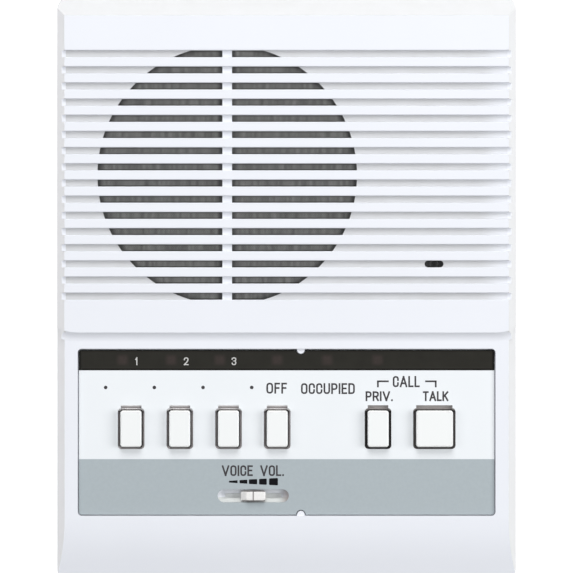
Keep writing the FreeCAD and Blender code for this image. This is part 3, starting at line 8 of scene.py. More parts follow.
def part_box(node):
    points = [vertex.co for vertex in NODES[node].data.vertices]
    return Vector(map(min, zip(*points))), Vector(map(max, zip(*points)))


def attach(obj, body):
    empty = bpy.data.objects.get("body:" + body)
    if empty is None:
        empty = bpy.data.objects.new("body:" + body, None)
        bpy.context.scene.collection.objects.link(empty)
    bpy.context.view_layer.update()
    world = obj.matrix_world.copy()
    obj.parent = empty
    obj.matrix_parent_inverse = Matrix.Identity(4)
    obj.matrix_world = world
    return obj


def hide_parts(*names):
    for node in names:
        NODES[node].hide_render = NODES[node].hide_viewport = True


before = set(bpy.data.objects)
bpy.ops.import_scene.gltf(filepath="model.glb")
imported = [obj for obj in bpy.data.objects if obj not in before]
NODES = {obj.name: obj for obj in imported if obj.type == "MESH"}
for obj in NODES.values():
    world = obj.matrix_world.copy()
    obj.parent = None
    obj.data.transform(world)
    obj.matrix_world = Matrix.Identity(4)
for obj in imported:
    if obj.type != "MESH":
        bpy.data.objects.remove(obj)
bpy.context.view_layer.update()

MM = 0.001
WHITE = (1.0, 1.0, 1.0, 1.0)

# ---- places read from the frame, and the sizes that the finishes follow ----
CASE_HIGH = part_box("front_shell")[1]
FACE_Z = CASE_HIGH.z
SIDE_EDGE = 3.2 * MM
FAR_EDGE = 9 * MM
RIB_HALF = 1.9 * MM
PLATE_LOW, PLATE_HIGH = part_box("control_panel")
PLATE_Z = PLATE_HIGH.z
LEDGE_Z = PLATE_LOW.z
KEY_FLANGE = 1.45 * MM
CALL_MARGIN = 4 * MM
CALL_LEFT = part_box("privacy_key")[0].x - CALL_MARGIN
DISH_HALF = 12.45 * MM
DISH_RIGHT = sum(corner.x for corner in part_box("volume_knob")) / 2 + DISH_HALF
WINDOW_LOW, WINDOW_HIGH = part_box("indicator_window")
STEP_MARGIN = 5 * MM
STEP_TOP_Y = WINDOW_HIGH.y + STEP_MARGIN
CLOTH_LOW, CLOTH_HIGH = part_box("speaker_cloth")
CLOTH_MIDDLE = (CLOTH_LOW + CLOTH_HIGH) / 2
CLOTH_R = (CLOTH_HIGH.x - CLOTH_LOW.x) / 2
CLOTH_THICK = 0.3 * MM
CLOTH_GAP = 0.02 * MM
CLOTH_DRAW = 0.12 * MM
CLOTH_RINGS = 5
SLOT_PITCH = 5.638 * MM
LAMP_XS = [x * MM for x in (-57.3, -40.3, -23.3, -3.3, 14.2, 31.7)]

# ---- the printing, in millimetres ----
INK_THICK = 0.02
INK_SUNK = 0.01
BAND_TOP_Y = -59.27
DOT_R = 0.62
DOT_Y = -34.25
DOT_XS = (-63.18, -46.18, -29.18, -12.18)
LEGEND_PEN = 0.6
LEGENDS = (
    ("legend_off", "OFF", -3.48, -34.5, 7.2, 3.8),
    ("legend_occupied", "OCCUPIED", 14.42, -34.65, 18.8, 3.8),
    ("legend_call", "CALL", 41.77, -32.2, 9.4, 3.9),
    ("legend_privacy", "PRIV.", 32.32, -37.3, 9.5, 3.45),
    ("legend_talk", "TALK", 52.02, -37.3, 8.9, 3.45),
    ("legend_volume", "VOICE VOL.", -11.78, -63.3, 21.7, 3.75),
)
NUMERAL_PEN = 0.4
NUMERALS = (
    ("numeral_1", "1", -52.48, -25.1, 0.75, 2.75),
    ("numeral_2", "2", -35.08, -25.1, 1.65, 2.75),
    ("numeral_3", "3", -18.38, -25.1, 1.65, 2.75),
)
# Each letter: its width as a share of its height, then its pen strokes, each a bend (1 round, 0 sharp)
# and its points across and up the letter.
LETTER_GAP = 0.26
LETTERS = {
    " ": (0.36,),
    ".": (0.0, (0, (0.0, 0.0), (0.0, 0.01))),
    "A": (0.56, (0, (0.0, 0.0), (0.5, 1.0), (1.0, 0.0)), (0, (0.2, 0.32), (0.8, 0.32))),
    "C": (0.42, (1, (1.0, 0.66), (1.0, 1.0), (0.0, 1.0), (0.0, 0.0), (1.0, 0.0), (1.0, 0.34))),
    "D": (0.44, (0, (0.0, 0.0), (0.0, 1.0)), (1, (0.0, 1.0), (1.0, 1.0), (1.0, 0.0), (0.0, 0.0))),
    "E": (0.36, (0, (1.0, 1.0), (0.0, 1.0), (0.0, 0.0), (1.0, 0.0)), (0, (0.0, 0.52), (0.85, 0.52))),
    "F": (0.34, (0, (1.0, 1.0), (0.0, 1.0), (0.0, 0.0)), (0, (0.0, 0.52), (0.85, 0.52))),
    "I": (0.0, (0, (0.0, 0.0), (0.0, 1.0))),
    "K": (0.46, (0, (0.0, 0.0), (0.0, 1.0)), (0, (1.0, 1.0), (0.0, 0.4)), (0, (0.36, 0.62), (1.0, 0.0))),
    "L": (0.34, (0, (0.0, 1.0), (0.0, 0.0), (1.0, 0.0))),
    "O": (0.44, (1, (0.0, 0.5), (0.0, 1.0), (1.0, 1.0), (1.0, 0.0), (0.0, 0.0), (0.0, 0.5))),
    "P": (0.42, (0, (0.0, 0.0), (0.0, 1.0)), (1, (0.0, 1.0), (1.0, 1.0), (1.0, 0.44), (0.0, 0.44))),
    "R": (
        0.44, (0, (0.0, 0.0), (0.0, 1.0)), (1, (0.0, 1.0), (1.0, 1.0), (1.0, 0.46), (0.0, 0.46)),
        (0, (0.55, 0.46), (1.0, 0.0)),
    ),
    "T": (0.44, (0, (0.0, 1.0), (1.0, 1.0)), (0, (0.5, 1.0), (0.5, 0.0))),
    "U": (0.44, (1, (0.0, 1.0), (0.0, 0.0), (1.0, 0.0), (1.0, 1.0))),
    "V": (0.56, (0, (0.0, 1.0), (0.5, 0.0), (1.0, 1.0))),
    "1": (0.3, (0, (0.0, 0.76), (1.0, 1.0), (1.0, 0.0))),
    "2": (
        0.6, (1, (0.0, 0.74), (0.0, 1.0), (1.0, 1.0), (1.0, 0.55), (0.0, 0.0)),
        (0, (0.0, 0.0), (1.0, 0.0)),
    ),
    "3": (
        0.6, (1, (0.0, 0.8), (0.0, 1.0), (1.0, 1.0), (1.0, 0.54), (0.35, 0.54)),
        (1, (0.35, 0.54), (1.0, 0.54), (1.0, 0.0), (0.0, 0.0), (0.0, 0.22)),
    ),
}
BRACKET_Y = -32.1
BRACKET_DROP = 2.1
BRACKET_LINE = 0.6
BRACKETS = ((31.57, 35.67), (52.37, 48.37))
WEDGE_Y = -67.15
WEDGE_BARS = (
    (-18.63, 3.0, 1.0, 0.58),
    (-15.08, 2.7, 1.4, 0.78),
    (-11.73, 2.9, 1.85, 0.85),
    (-8.28, 2.7, 2.2, 0.88),
    (-4.58, 3.1, 2.6, 0.88),
)
# In metres: the middle height and the whole depth of a film of ink.
INK_Z = PLATE_Z + (INK_THICK - INK_SUNK) / 2 * MM
INK_DEPTH = (INK_THICK + INK_SUNK) * MM
# How far ink runs at a bar's corners, as a share of its smaller side.
INK_RUN = 0.12

# ---- the studio ----
SOFT_BOX_SIZE = 0.7
SOFT_BOXES = (
    ("right_light", (1.08, 0.0, 0.82), 9.6),
    ("far_light", (0.0, 1.0, 0.9), 10.0),
    ("left_light", (-1.0, 0.0, 0.9), 4.7),
)
SKY = (0.97, 0.98, 1.0, 1.0)
SKY_STRENGTH = 0.3
FLOOR_SIZE = 2.0
FLOOR_DROP = 0.02 * MM
VIEW_X, VIEW_Y = -0.04 * MM, 1.0 * MM
VIEW_WIDTH = 199.7 * MM
VIEW_DISTANCE = 1.2


# ---- shader building ----
class Value:
    """A number that varies over a surface. Arithmetic on it adds the nodes that work it out."""

    def __init__(self, finish, socket):
        self.finish = finish
        self.socket = socket

    def __add__(self, other):
        return self.finish.maths("ADD", self, other)

    def __radd__(self, other):
        return self.finish.maths("ADD", other, self)

    def __sub__(self, other):
        return self.finish.maths("SUBTRACT", self, other)

    def __rsub__(self, other):
        return self.finish.maths("SUBTRACT", other, self)

    def __mul__(self, other):
        return self.finish.maths("MULTIPLY", self, other)

    def __rmul__(self, other):
        return self.finish.maths("MULTIPLY", other, self)

    def __truediv__(self, other):
        return self.finish.maths("DIVIDE", self, other)

    def __gt__(self, other):
        return self.finish.maths("GREATER_THAN", self, other)

    def __lt__(self, other):
        return self.finish.maths("LESS_THAN", self, other)

    def __abs__(self):
        return self.finish.maths("ABSOLUTE", self)


class Finish:
    """A material: one surface shader and the nodes that feed it. Its lengths are metres on the piece."""

    def __init__(self, name, **uniform):
        self.material = bpy.data.materials.new(name)
        self.material.use_nodes = True
        self.tree = self.material.node_tree
        self.shader = self.tree.nodes["Principled BSDF"]
        for label, value in uniform.items():
            self.shader.inputs[label.replace("_", " ").title().replace("Ior", "IOR")].default_value = value
        self.place = self.add("ShaderNodeTexCoord", output="Object")

    def add(self, kind, settings=None, inputs=None, output=0):
        """Adds a node, sets it, then gives its inputs their numbers or links."""
        node = self.tree.nodes.new(kind)
        for label, value in (settings or {}).items():
            setattr(node, label, value)
        for label, value in (inputs or {}).items():
            self.feed(node.inputs[label], value)
        return Value(self, node.outputs[output])

    def feed(self, socket, value):
        if isinstance(value, Value):
            self.tree.links.new(value.socket, socket)
        else:
            socket.default_value = value

    def maths(self, operation, *values):
        return self.add("ShaderNodeMath", {"operation": operation}, dict(enumerate(values)))

    def axes(self):
        """The piece's own x, y and z."""
        split = self.tree.nodes.new("ShaderNodeSeparateXYZ")
        self.feed(split.inputs[0], self.place)
        return [Value(self, socket) for socket in split.outputs]

    def facing(self):
        """The x, y and z of the direction that the surface faces."""
        split = self.tree.nodes.new("ShaderNodeSeparateXYZ")
        self.feed(split.inputs[0], self.add("ShaderNodeNewGeometry", output="Normal"))
        return [Value(self, socket) for socket in split.outputs]

    def noise(self, size, detail=2.0, stretch=None, warp=0.0):
        """Cloudy noise whose features are about the size given, longer along a stretched axis."""
        place = self.place
        if stretch:
            place = self.add("ShaderNodeMapping", inputs={"Vector": place, "Scale": stretch})
        inputs = {"Vector": place, "Scale": 1 / size, "Detail": detail, "Distortion": warp}
        return self.add("ShaderNodeTexNoise", inputs=inputs)

    def cells(self, size):
        """Distance from the nearest of many scattered points, about the size apart."""
        inputs = {"Vector": self.place, "Scale": 1 / size}
        return self.add("ShaderNodeTexVoronoi", {"feature": "F1"}, inputs, "Distance")

    def steps(self, value, low, high):
        """0 below low and 1 above high, with a smooth change between them."""
        settings = {"interpolation_type": "SMOOTHSTEP"}
        inputs = {"Value": value, "From Min": low, "From Max": high}
        return self.add("ShaderNodeMapRange", settings, inputs)

    def ripple(self, value, pitch):
        """A wave between 0 and 1 that repeats every pitch along the value."""
        return self.maths("SINE", value * (2 * math.pi / pitch)) * 0.5 + 0.5

    def blend(self, first, second, share):
        """The first colour where the share is 0 and the second where it is 1."""
        inputs = {0: share, 6: rgba(first), 7: rgba(second)}
        return self.add("ShaderNodeMix", {"data_type": "RGBA"}, inputs, 2)

    def colour(self, value):
        self.feed(self.shader.inputs["Base Color"], rgba(value))

    def roughness(self, value):
        self.feed(self.shader.inputs["Roughness"], value)

    def metallic(self, value):
        self.feed(self.shader.inputs["Metallic"], value)

    def relief(self, height, depth):
        """Bumps as high as the depth given, in metres."""
        bump = self.add("ShaderNodeBump", inputs={"Height": height, "Distance": depth, "Strength": 1.0})
        self.feed(self.shader.inputs["Normal"], bump)


def rgba(colour):
    return colour if isinstance(colour, Value) else (*colour, 1.0)


# ---- finishes ----
def moulded(name, light, dark, grain, rough, relief=0.006, **uniform):
    """Moulded plastic: slow changes of tone, and the fine grain of a spark-eroded mould."""
    finish = Finish(name, **uniform)
    tone = finish.noise(22 * MM, detail=4.0)
    spark = finish.noise(grain * MM, detail=3.0)
    scuff = finish.noise(1.6 * MM, detail=5.0, stretch=(1.0, 0.15, 1.0), warp=0.6)
    finish.colour(finish.blend(light, dark, tone * 0.7 + spark * 0.3))
    finish.roughness(rough + (spark - 0.5) * 0.16 + finish.steps(scuff, 0.62, 0.75) * 0.08)
    finish.relief(spark, relief * MM)
    return finish


def metal(name, light, dark, rough, grain=0.25, stretch=(0.08, 1.0, 1.0)):
    """Rolled or plated metal with its drawing lines, dulled here and there."""
    finish = Finish(name, metallic=1.0)
    lines = finish.noise(grain * MM, detail=3.0, stretch=stretch)
    bloom = finish.noise(6 * MM, detail=5.0)
    finish.colour(finish.blend(light, dark, bloom * 0.6 + lines * 0.4))
    finish.roughness(rough + (lines - 0.5) * 0.2 + finish.steps(bloom, 0.5, 0.8) * 0.15)
    finish.relief(lines, 0.004 * MM)
    return finish


def case_plastic():
    """Cool white plastic, with painted shade on the outer walls and bevels, in the groove floors with a
    little dust, in the dish, and on the tray round the keys.
    """
    finish = Finish("case_plastic")
    x, y, z = finish.axes()
    tone = finish.noise(22 * MM, detail=4.0)
    spark = finish.noise(0.28 * MM, detail=3.0)
    scuff = finish.noise(1.6 * MM, detail=5.0, stretch=(1.0, 0.15, 1.0), warp=0.6)
    # A slow mottle that varies how strong the painted shades below are.
    shade_mottle = finish.noise(7 * MM, detail=5.0)
    keys_low, keys_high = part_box("station_1_key")[0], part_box("talk_key")[1]
    cleared = 2.6 * MM
    white = finish.blend((0.83, 0.85, 0.90), (0.80, 0.82, 0.87), tone * 0.7 + spark * 0.3)
    across, along, up = finish.facing()
    outer = finish.maths("MAXIMUM", abs(x) > CASE_HIGH.x - SIDE_EDGE, y > CASE_HIGH.y - FAR_EDGE)
    # Painted shade on the outer bevels, deeper where a bevel faces right or far than where it faces left or
    # near.
    bevel = outer * (up > 0.5) * (up < 0.8)
    bevel_shades = finish.blend((0.715, 0.715, 0.725), (0.65, 0.655, 0.66), across + along > 0)
    # Painted shade on the outer walls, all but those facing the near end.
    wall = (1 - finish.steps(up, 0.1, 0.4)) * outer * finish.steps(along, -0.9, -0.3)
    walls_shaded = finish.blend(white, (0.55, 0.56, 0.585), wall * (0.85 + shade_mottle * 0.2))
    edged = finish.blend(walls_shaded, bevel_shades, bevel * (0.8 + shade_mottle * 0.3))
    off_rib = abs(x - CLOTH_MIDDLE.x) > RIB_HALF
    # The groove floors get painted shade with a little dust, lifted near the right side by painted light
    # where light enters their open ends.
    sunk = finish.steps(z, FACE_Z - 1.0 * MM, FACE_Z - 1.15 * MM)
    groove = sunk * (y > STEP_TOP_Y) * (1 - outer) * off_rib
    groove_end_light = finish.steps(x, CASE_HIGH.x - 14 * MM, CASE_HIGH.x - 3 * MM) * 0.7
    groove_dust_and_shade = finish.blend(edged, (0.60, 0.605, 0.615), groove * (0.75 + shade_mottle * 0.3) * (1 - groove_end_light))
    inside = (abs(x) < PLATE_HIGH.x) * (z < LEDGE_Z + 0.02 * MM) * (z > LEDGE_Z - 2.2 * MM)
    channel = inside * (z < LEDGE_Z - 0.01 * MM) * (y < BAND_TOP_Y * MM) * (y > PLATE_LOW.y)
    # Painted shade on the dish's walls that face the far end, and a painted shadow at its right end.
    dish_end_shadow = finish.steps(x, DISH_RIGHT - 3.4 * MM, DISH_RIGHT - 0.2 * MM) * channel
    dish_walls_shaded = finish.blend(groove_dust_and_shade, (0.68, 0.70, 0.685), channel * (along > 0.2))
    dish_shaded = finish.blend(dish_walls_shaded, (0.36, 0.30, 0.29), dish_end_shadow * (0.65 + shade_mottle * 0.3))
    # The mask painted covers the tray seen in the gaps round the keys, which gets painted shade: grey by the
    # stations, lighter on their right and near sides; black by the call keys, lighter by the talk key; paler
    # in the gaps above the keys.
    painted = inside * (y > keys_low.y - cleared) * (y < keys_high.y + cleared)
    above = y > keys_high.y - KEY_FLANGE
    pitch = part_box("station_2_key")[0].x - keys_low.x
    key_x = (keys_low.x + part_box("station_1_key")[1].x) / 2
    right_half = finish.maths("FRACT", (x - key_x) / pitch + 0.5) > 0.5
    gap_lit_side = finish.maths("MAXIMUM", right_half, y < keys_low.y + KEY_FLANGE)
    station_gap_shade = finish.blend((0.27, 0.25, 0.25), (0.44, 0.41, 0.41), gap_lit_side)
    grey = finish.blend(station_gap_shade, (0.85, 0.84, 0.84), above)
    by_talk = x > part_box("talk_key")[0].x - 2 * MM
    call_gap_shade = finish.blend((0.034, 0.030, 0.031), (0.11, 0.10, 0.098), by_talk)
    black = finish.blend(call_gap_shade, (0.36, 0.335, 0.325), above)
    finish.colour(finish.blend(dish_shaded, finish.blend(grey, black, x > CALL_LEFT), painted))
    finish.roughness(0.42 + (spark - 0.5) * 0.16 + finish.steps(scuff, 0.62, 0.75) * 0.08 + painted * 0.2)
    finish.relief(spark, 0.006 * MM)
    return finish


def foot_rubber():
    return moulded("foot_rubber", (0.035, 0.034, 0.033), (0.022, 0.022, 0.022), 0.2, 0.75, 0.02)


def screw_steel():
    return metal("screw_steel", (0.62, 0.61, 0.57), (0.46, 0.44, 0.40), 0.34)


def smoked_acrylic():
    """Dark acrylic, with the unlit red lamps showing faintly behind it."""
    finish = Finish("smoked_acrylic", ior=1.49, specular_ior_level=0.35)
    x, y = finish.axes()[:2]
    haze = finish.noise(5 * MM, detail=4.0)
    middle_y = (WINDOW_LOW.y + WINDOW_HIGH.y) / 2
    tall = 1 - finish.steps(abs(y - middle_y), 0.6 * MM, 2.6 * MM)
    lens = 0.0
    for lamp_x in LAMP_XS:
        lens = (1 - finish.steps(abs(x - lamp_x), 0.6 * MM, 2.8 * MM)) * tall + lens
    smoke = finish.blend((0.018, 0.017, 0.014), (0.027, 0.026, 0.021), haze)
    glow = finish.noise(1.2 * MM, detail=2.0)
    lit = finish.blend(smoke, (0.044, 0.034, 0.031), lens * (0.6 + glow * 0.6))
    rim_y = finish.steps(abs(y - middle_y), WINDOW_HIGH.y - middle_y - 0.8 * MM, WINDOW_HIGH.y - middle_y)
    rim_x = finish.steps(abs(x), WINDOW_HIGH.x - 1.1 * MM, WINDOW_HIGH.x - 0.2 * MM)
    finish.colour(finish.blend(lit, (0.004, 0.004, 0.003), finish.maths("MAXIMUM", rim_x, rim_y)))
    finish.roughness(0.12 + finish.steps(haze, 0.4, 0.9) * 0.1)
    finish.relief(finish.noise(14 * MM), 0.01 * MM)
    return finish


def printed_plate():
    """The plate's two zones: white above, silver-grey ink below, on a fine sprayed grain."""
    finish = Finish("printed_plate", specular_ior_level=0.4)
    y, z = finish.axes()[1:]
    band = 1 - finish.steps(y, (BAND_TOP_Y - 0.06) * MM, (BAND_TOP_Y + 0.06) * MM)
    tone = finish.noise(18 * MM, detail=4.0)
    grain = finish.noise(0.3 * MM, detail=3.0)
    flake = finish.noise(1.1 * MM, detail=5.0)
    white = finish.blend((0.85, 0.88, 0.90), (0.81, 0.84, 0.87), tone * 0.7 + grain * 0.3)
    silver = finish.blend((0.445, 0.50, 0.525), (0.38, 0.43, 0.455), flake * 0.7 + grain * 0.3)
    printed = finish.blend(white, silver, band)
    # Painted shade on the floors of the notches above the keys: light grey, and dark from the caps' tops
    # down.
    notch = (z < PLATE_Z - 0.3 * MM) * (z > PLATE_Z - 0.7 * MM)
    cap_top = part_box("station_1_key")[1].y
    depth = finish.steps(y, cap_top + 0.2 * MM, cap_top - 0.05 * MM)
    sunk = finish.blend((0.80, 0.79, 0.79), (0.22, 0.20, 0.20), depth)
    finish.colour(finish.blend(printed, sunk, notch))
    finish.roughness(0.42 + (grain - 0.5) * 0.15 - band * 0.06)
    finish.relief(grain, 0.004 * MM)
    return finish


def switch_plastic():
    return moulded("switch_plastic", (0.055, 0.06, 0.065), (0.035, 0.038, 0.042), 0.25, 0.5)


def bank_steel():
    return metal("bank_steel", (0.66, 0.66, 0.63), (0.5, 0.49, 0.45), 0.32)


def spring_steel():
    return metal("spring_steel", (0.58, 0.58, 0.57), (0.42, 0.42, 0.41), 0.25, 0.15)


# Painted shade on the flange at a key's root, seen in the gap: its shaded sides, its lit sides and its far
# end.
STATION_GAP_SHADES = (0.12, 0.26, 0.88)
KEY_GAP_SHADES = {"privacy_key": (0.11, 0.16, 0.40), "talk_key": (0.22, 0.24, 0.40)}


def key_plastic(node):
    """Glossier white plastic, polished in the middle by fingertips and faintly soiled round its edge, with
    painted shade on its root below the plate.
    """
    finish = Finish("key_plastic_" + node)
    low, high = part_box(node)
    x, y, z = finish.axes()
    edge = finish.maths(
        "MAXIMUM",
        abs(x - (low.x + high.x) / 2) / (high.x - low.x),
        abs(y - (low.y + high.y) / 2) / (high.y - low.y),
    )
    spark = finish.noise(0.22 * MM, detail=3.0)
    smear = finish.noise(2.5 * MM, detail=5.0, warp=0.8)
    soil = finish.steps(edge + (smear - 0.5) * 0.12, 0.34, 0.44)
    white = finish.blend((0.885, 0.905, 0.905), (0.80, 0.795, 0.77), soil * 0.6 + spark * 0.15)
    # Painted shade on the root, seen through the gap round the key: lighter on its right and near sides,
    # palest at its far end.
    root = finish.steps(z, PLATE_Z + 0.2 * MM, PLATE_Z - 0.6 * MM)
    far_end = y > high.y - KEY_FLANGE
    lit_side = finish.maths("MAXIMUM", x > high.x - KEY_FLANGE, y < low.y + KEY_FLANGE)
    tones = KEY_GAP_SHADES.get(node, STATION_GAP_SHADES)
    deep, gap_lit_side, pale = [(tone, tone * 0.94, tone * 0.92) for tone in tones]
    flange = finish.blend(finish.blend(deep, gap_lit_side, lit_side), pale, far_end)
    finish.colour(finish.blend(white, flange, root))
    finish.roughness(0.24 + soil * 0.14 + (smear - 0.5) * 0.12)
    finish.relief(spark, 0.003 * MM)
    return finish


def knob_plastic():
    """The knob's white plastic: grey in the line across its top, painted shade on the long rims of its top,
    and a pale shield below.
    """
    finish = Finish("knob_plastic")
    low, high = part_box("volume_knob")
    x, y, z = finish.axes()
    spark = finish.noise(0.2 * MM, detail=3.0)
    smear = finish.noise(1.4 * MM, detail=4.0)
    line = 1 - finish.steps(abs(x - (low.x + high.x) / 2), 0.16 * MM, 0.3 * MM)
    line = line * (z > high.z - 0.5 * MM)
    white = finish.blend((0.88, 0.875, 0.865), (0.82, 0.81, 0.79), smear)
    marked = finish.blend(white, (0.42, 0.40, 0.40), line)
    half = 1.75 * MM
    # Painted shade on the long rims of the top, for the dark gaps between the knob and the dish.
    rim = finish.steps(abs(y - (low.y + high.y) / 2), half - 0.38 * MM, half - 0.2 * MM)
    rims_shaded = finish.blend(marked, (0.13, 0.12, 0.12), rim * (0.75 + smear * 0.2))
    finish.colour(finish.blend(rims_shaded, (0.90, 0.92, 0.91), z < LEDGE_Z))
    finish.roughness(0.28 + (smear - 0.5) * 0.14)
    finish.relief(spark, 0.003 * MM)
    return finish


def holder_plastic():
    return moulded("holder_plastic", (0.03, 0.03, 0.032), (0.02, 0.02, 0.022), 0.3, 0.55)


def lamp_red():
    """Tinted lamp plastic on tinned legs."""
    finish = Finish("lamp_red", ior=1.53)
    z = finish.axes()[2]
    swirl = finish.noise(1.2 * MM, detail=3.0)
    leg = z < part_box("lamp_holder")[1].z
    red = finish.blend((0.42, 0.025, 0.02), (0.30, 0.014, 0.012), swirl)
    finish.colour(finish.blend(red, (0.62, 0.61, 0.58), leg))
    finish.metallic(leg)
    finish.roughness(0.14 + leg * 0.2 + swirl * 0.06)
    finish.relief(swirl, 0.01 * MM)
    return finish


def board_laminate():
    """Brown paper laminate under a green mask, with tinned tracks and solder joints."""
    finish = Finish("board_laminate")
    grain = finish.noise(0.5 * MM, detail=4.0, stretch=(0.2, 1.0, 1.0))
    brick = {"offset": 0.37, "squash": 1.6, "squash_frequency": 3}
    inputs = {"Vector": finish.place, "Scale": 60.0, "Mortar Size": 0.012, "Mortar Smooth": 0.2}
    tracks = finish.add("ShaderNodeTexBrick", brick, inputs, "Fac")
    joints = 1 - finish.steps(finish.cells(6 * MM), 0.10, 0.13)
    mask = finish.blend((0.035, 0.12, 0.045), (0.025, 0.09, 0.035), grain)
    laid = finish.blend(mask, (0.07, 0.20, 0.07), tracks)
    finish.colour(finish.blend(laid, (0.55, 0.54, 0.50), joints))
    finish.metallic(joints * 0.9)
    finish.roughness(0.4 + (grain - 0.5) * 0.2)
    finish.relief(tracks * 0.4 + joints, 0.06 * MM)
    return finish


def core_iron():
    """Stacked iron sheets under brown varnish."""
    finish = Finish("core_iron", specular_ior_level=0.4)
    z = finish.axes()[2]
    sheets = finish.ripple(z, 0.5 * MM)
    stain = finish.noise(3 * MM, detail=5.0)
    finish.colour(finish.blend((0.09, 0.075, 0.065), (0.20, 0.17, 0.15), sheets * 0.5 + stain * 0.4))
    finish.metallic(0.35 + stain * 0.3)
    finish.roughness(0.45 + (stain - 0.5) * 0.3)
    finish.relief(sheets, 0.05 * MM)
    return finish


def copper_winding():
    """Layers of enamelled copper wire."""
    finish = Finish("copper_winding", metallic=1.0)
    z = finish.axes()[2]
    turns = finish.ripple(z, 0.28 * MM)
    varnish = finish.noise(2.4 * MM, detail=4.0)
    finish.colour(finish.blend((0.62, 0.24, 0.10), (0.36, 0.12, 0.05), turns * 0.4 + varnish * 0.5))
    finish.roughness(0.3 + varnish * 0.2)
    finish.relief(turns, 0.09 * MM)
    return finish


def capacitor_sleeve():
    """Dark blue shrunk sleeve with a pale stripe down one side, and a bare aluminium top."""
    finish = Finish("capacitor_sleeve")
    across, along, up = finish.facing()
    crinkle = finish.noise(0.8 * MM, detail=4.0)
    top = up > 0.9
    stripe = (across * 0.7 + along * 0.7) > 0.93
    sleeve = finish.blend((0.02, 0.035, 0.10), (0.012, 0.02, 0.06), crinkle)
    marked = finish.blend(sleeve, (0.55, 0.58, 0.60), stripe)
    finish.colour(finish.blend(marked, (0.72, 0.72, 0.73), top))
    finish.metallic(top)
    finish.roughness(0.35 + (crinkle - 0.5) * 0.15)
    finish.relief(crinkle, 0.02 * MM)
    return finish


def component_black():
    """Black chips on tinned legs, and banded beige resistors on tinned wires."""
    finish = Finish("component_black")
    low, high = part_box("small_components")
    resistor_y = low.y + 5.2 * MM
    chip_y = high.y - 4.1 * MM
    body_half = 3.21 * MM
    y = finish.axes()[1]
    grain = finish.noise(0.25 * MM, detail=4.0)
    is_chip = y > (resistor_y + chip_y) / 2
    off_chip = abs(y - chip_y)
    off_resistor = abs(y - resistor_y)
    bare = is_chip * (off_chip > body_half) + (1 - is_chip) * (off_resistor > body_half)
    bands = finish.steps(finish.ripple(y, 1.4 * MM), 0.72, 0.8) * (off_resistor < 2.2 * MM)
    beige = finish.blend((0.55, 0.40, 0.24), (0.16, 0.05, 0.03), bands)
    body = finish.blend(beige, (0.02, 0.02, 0.022), is_chip)
    finish.colour(finish.blend(body, (0.66, 0.65, 0.62), bare))
    finish.metallic(bare)
    finish.roughness(0.45 + (grain - 0.5) * 0.2)
    finish.relief(grain, 0.01 * MM)
    return finish


def socket_plastic():
    return moulded("socket_plastic", (0.66, 0.63, 0.54), (0.58, 0.55, 0.46), 0.25, 0.42)


def microphone_can():
    """Drawn aluminium, with dark felt over the sound port."""
    finish = Finish("microphone_can")
    z = finish.axes()[2]
    up = finish.facing()[2]
    lines = finish.noise(0.2 * MM, detail=3.0, stretch=(0.08, 1.0, 1.0))
    hair = finish.noise(0.3 * MM, detail=5.0, warp=1.0)
    felt = (up > 0.9) * (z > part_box("microphone")[1].z - 1.0 * MM)
    drawn = finish.blend((0.78, 0.78, 0.79), (0.64, 0.64, 0.66), lines)
    finish.colour(finish.blend(drawn, (0.10, 0.105, 0.10), felt * (0.7 + hair * 0.4)))
    finish.metallic(1 - felt)
    finish.roughness(0.28 + (lines - 0.5) * 0.2 + felt * 0.6)
    finish.relief(lines + felt * hair * 4, 0.01 * MM)
    return finish


def boot_rubber():
    return moulded("boot_rubber", (0.03, 0.03, 0.031), (0.018, 0.018, 0.019), 0.18, 0.7, 0.02)


LEAD_COLOURS = {
    "speaker_leads": ((0.02, 0.02, 0.02), (0.40, 0.02, 0.02)),
    "microphone_leads": ((0.45, 0.45, 0.43), (0.38, 0.03, 0.03)),
    "line_harness": ((0.16, 0.16, 0.17), (0.16, 0.16, 0.17)),
}


def lead_insulation(node):
    """Soft insulation, one colour for each lead of a pair."""
    left, right = LEAD_COLOURS[node]
    finish = Finish("lead_insulation_" + node)
    low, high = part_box(node)
    x = finish.axes()[0]
    dust = finish.noise(1.2 * MM, detail=4.0)
    pair = finish.blend(left, right, x > (low.x + high.x) / 2)
    finish.colour(finish.blend(pair, (0.30, 0.28, 0.26), dust * 0.18))
    finish.roughness(0.42 + dust * 0.15)
    finish.relief(dust, 0.02 * MM)
    return finish


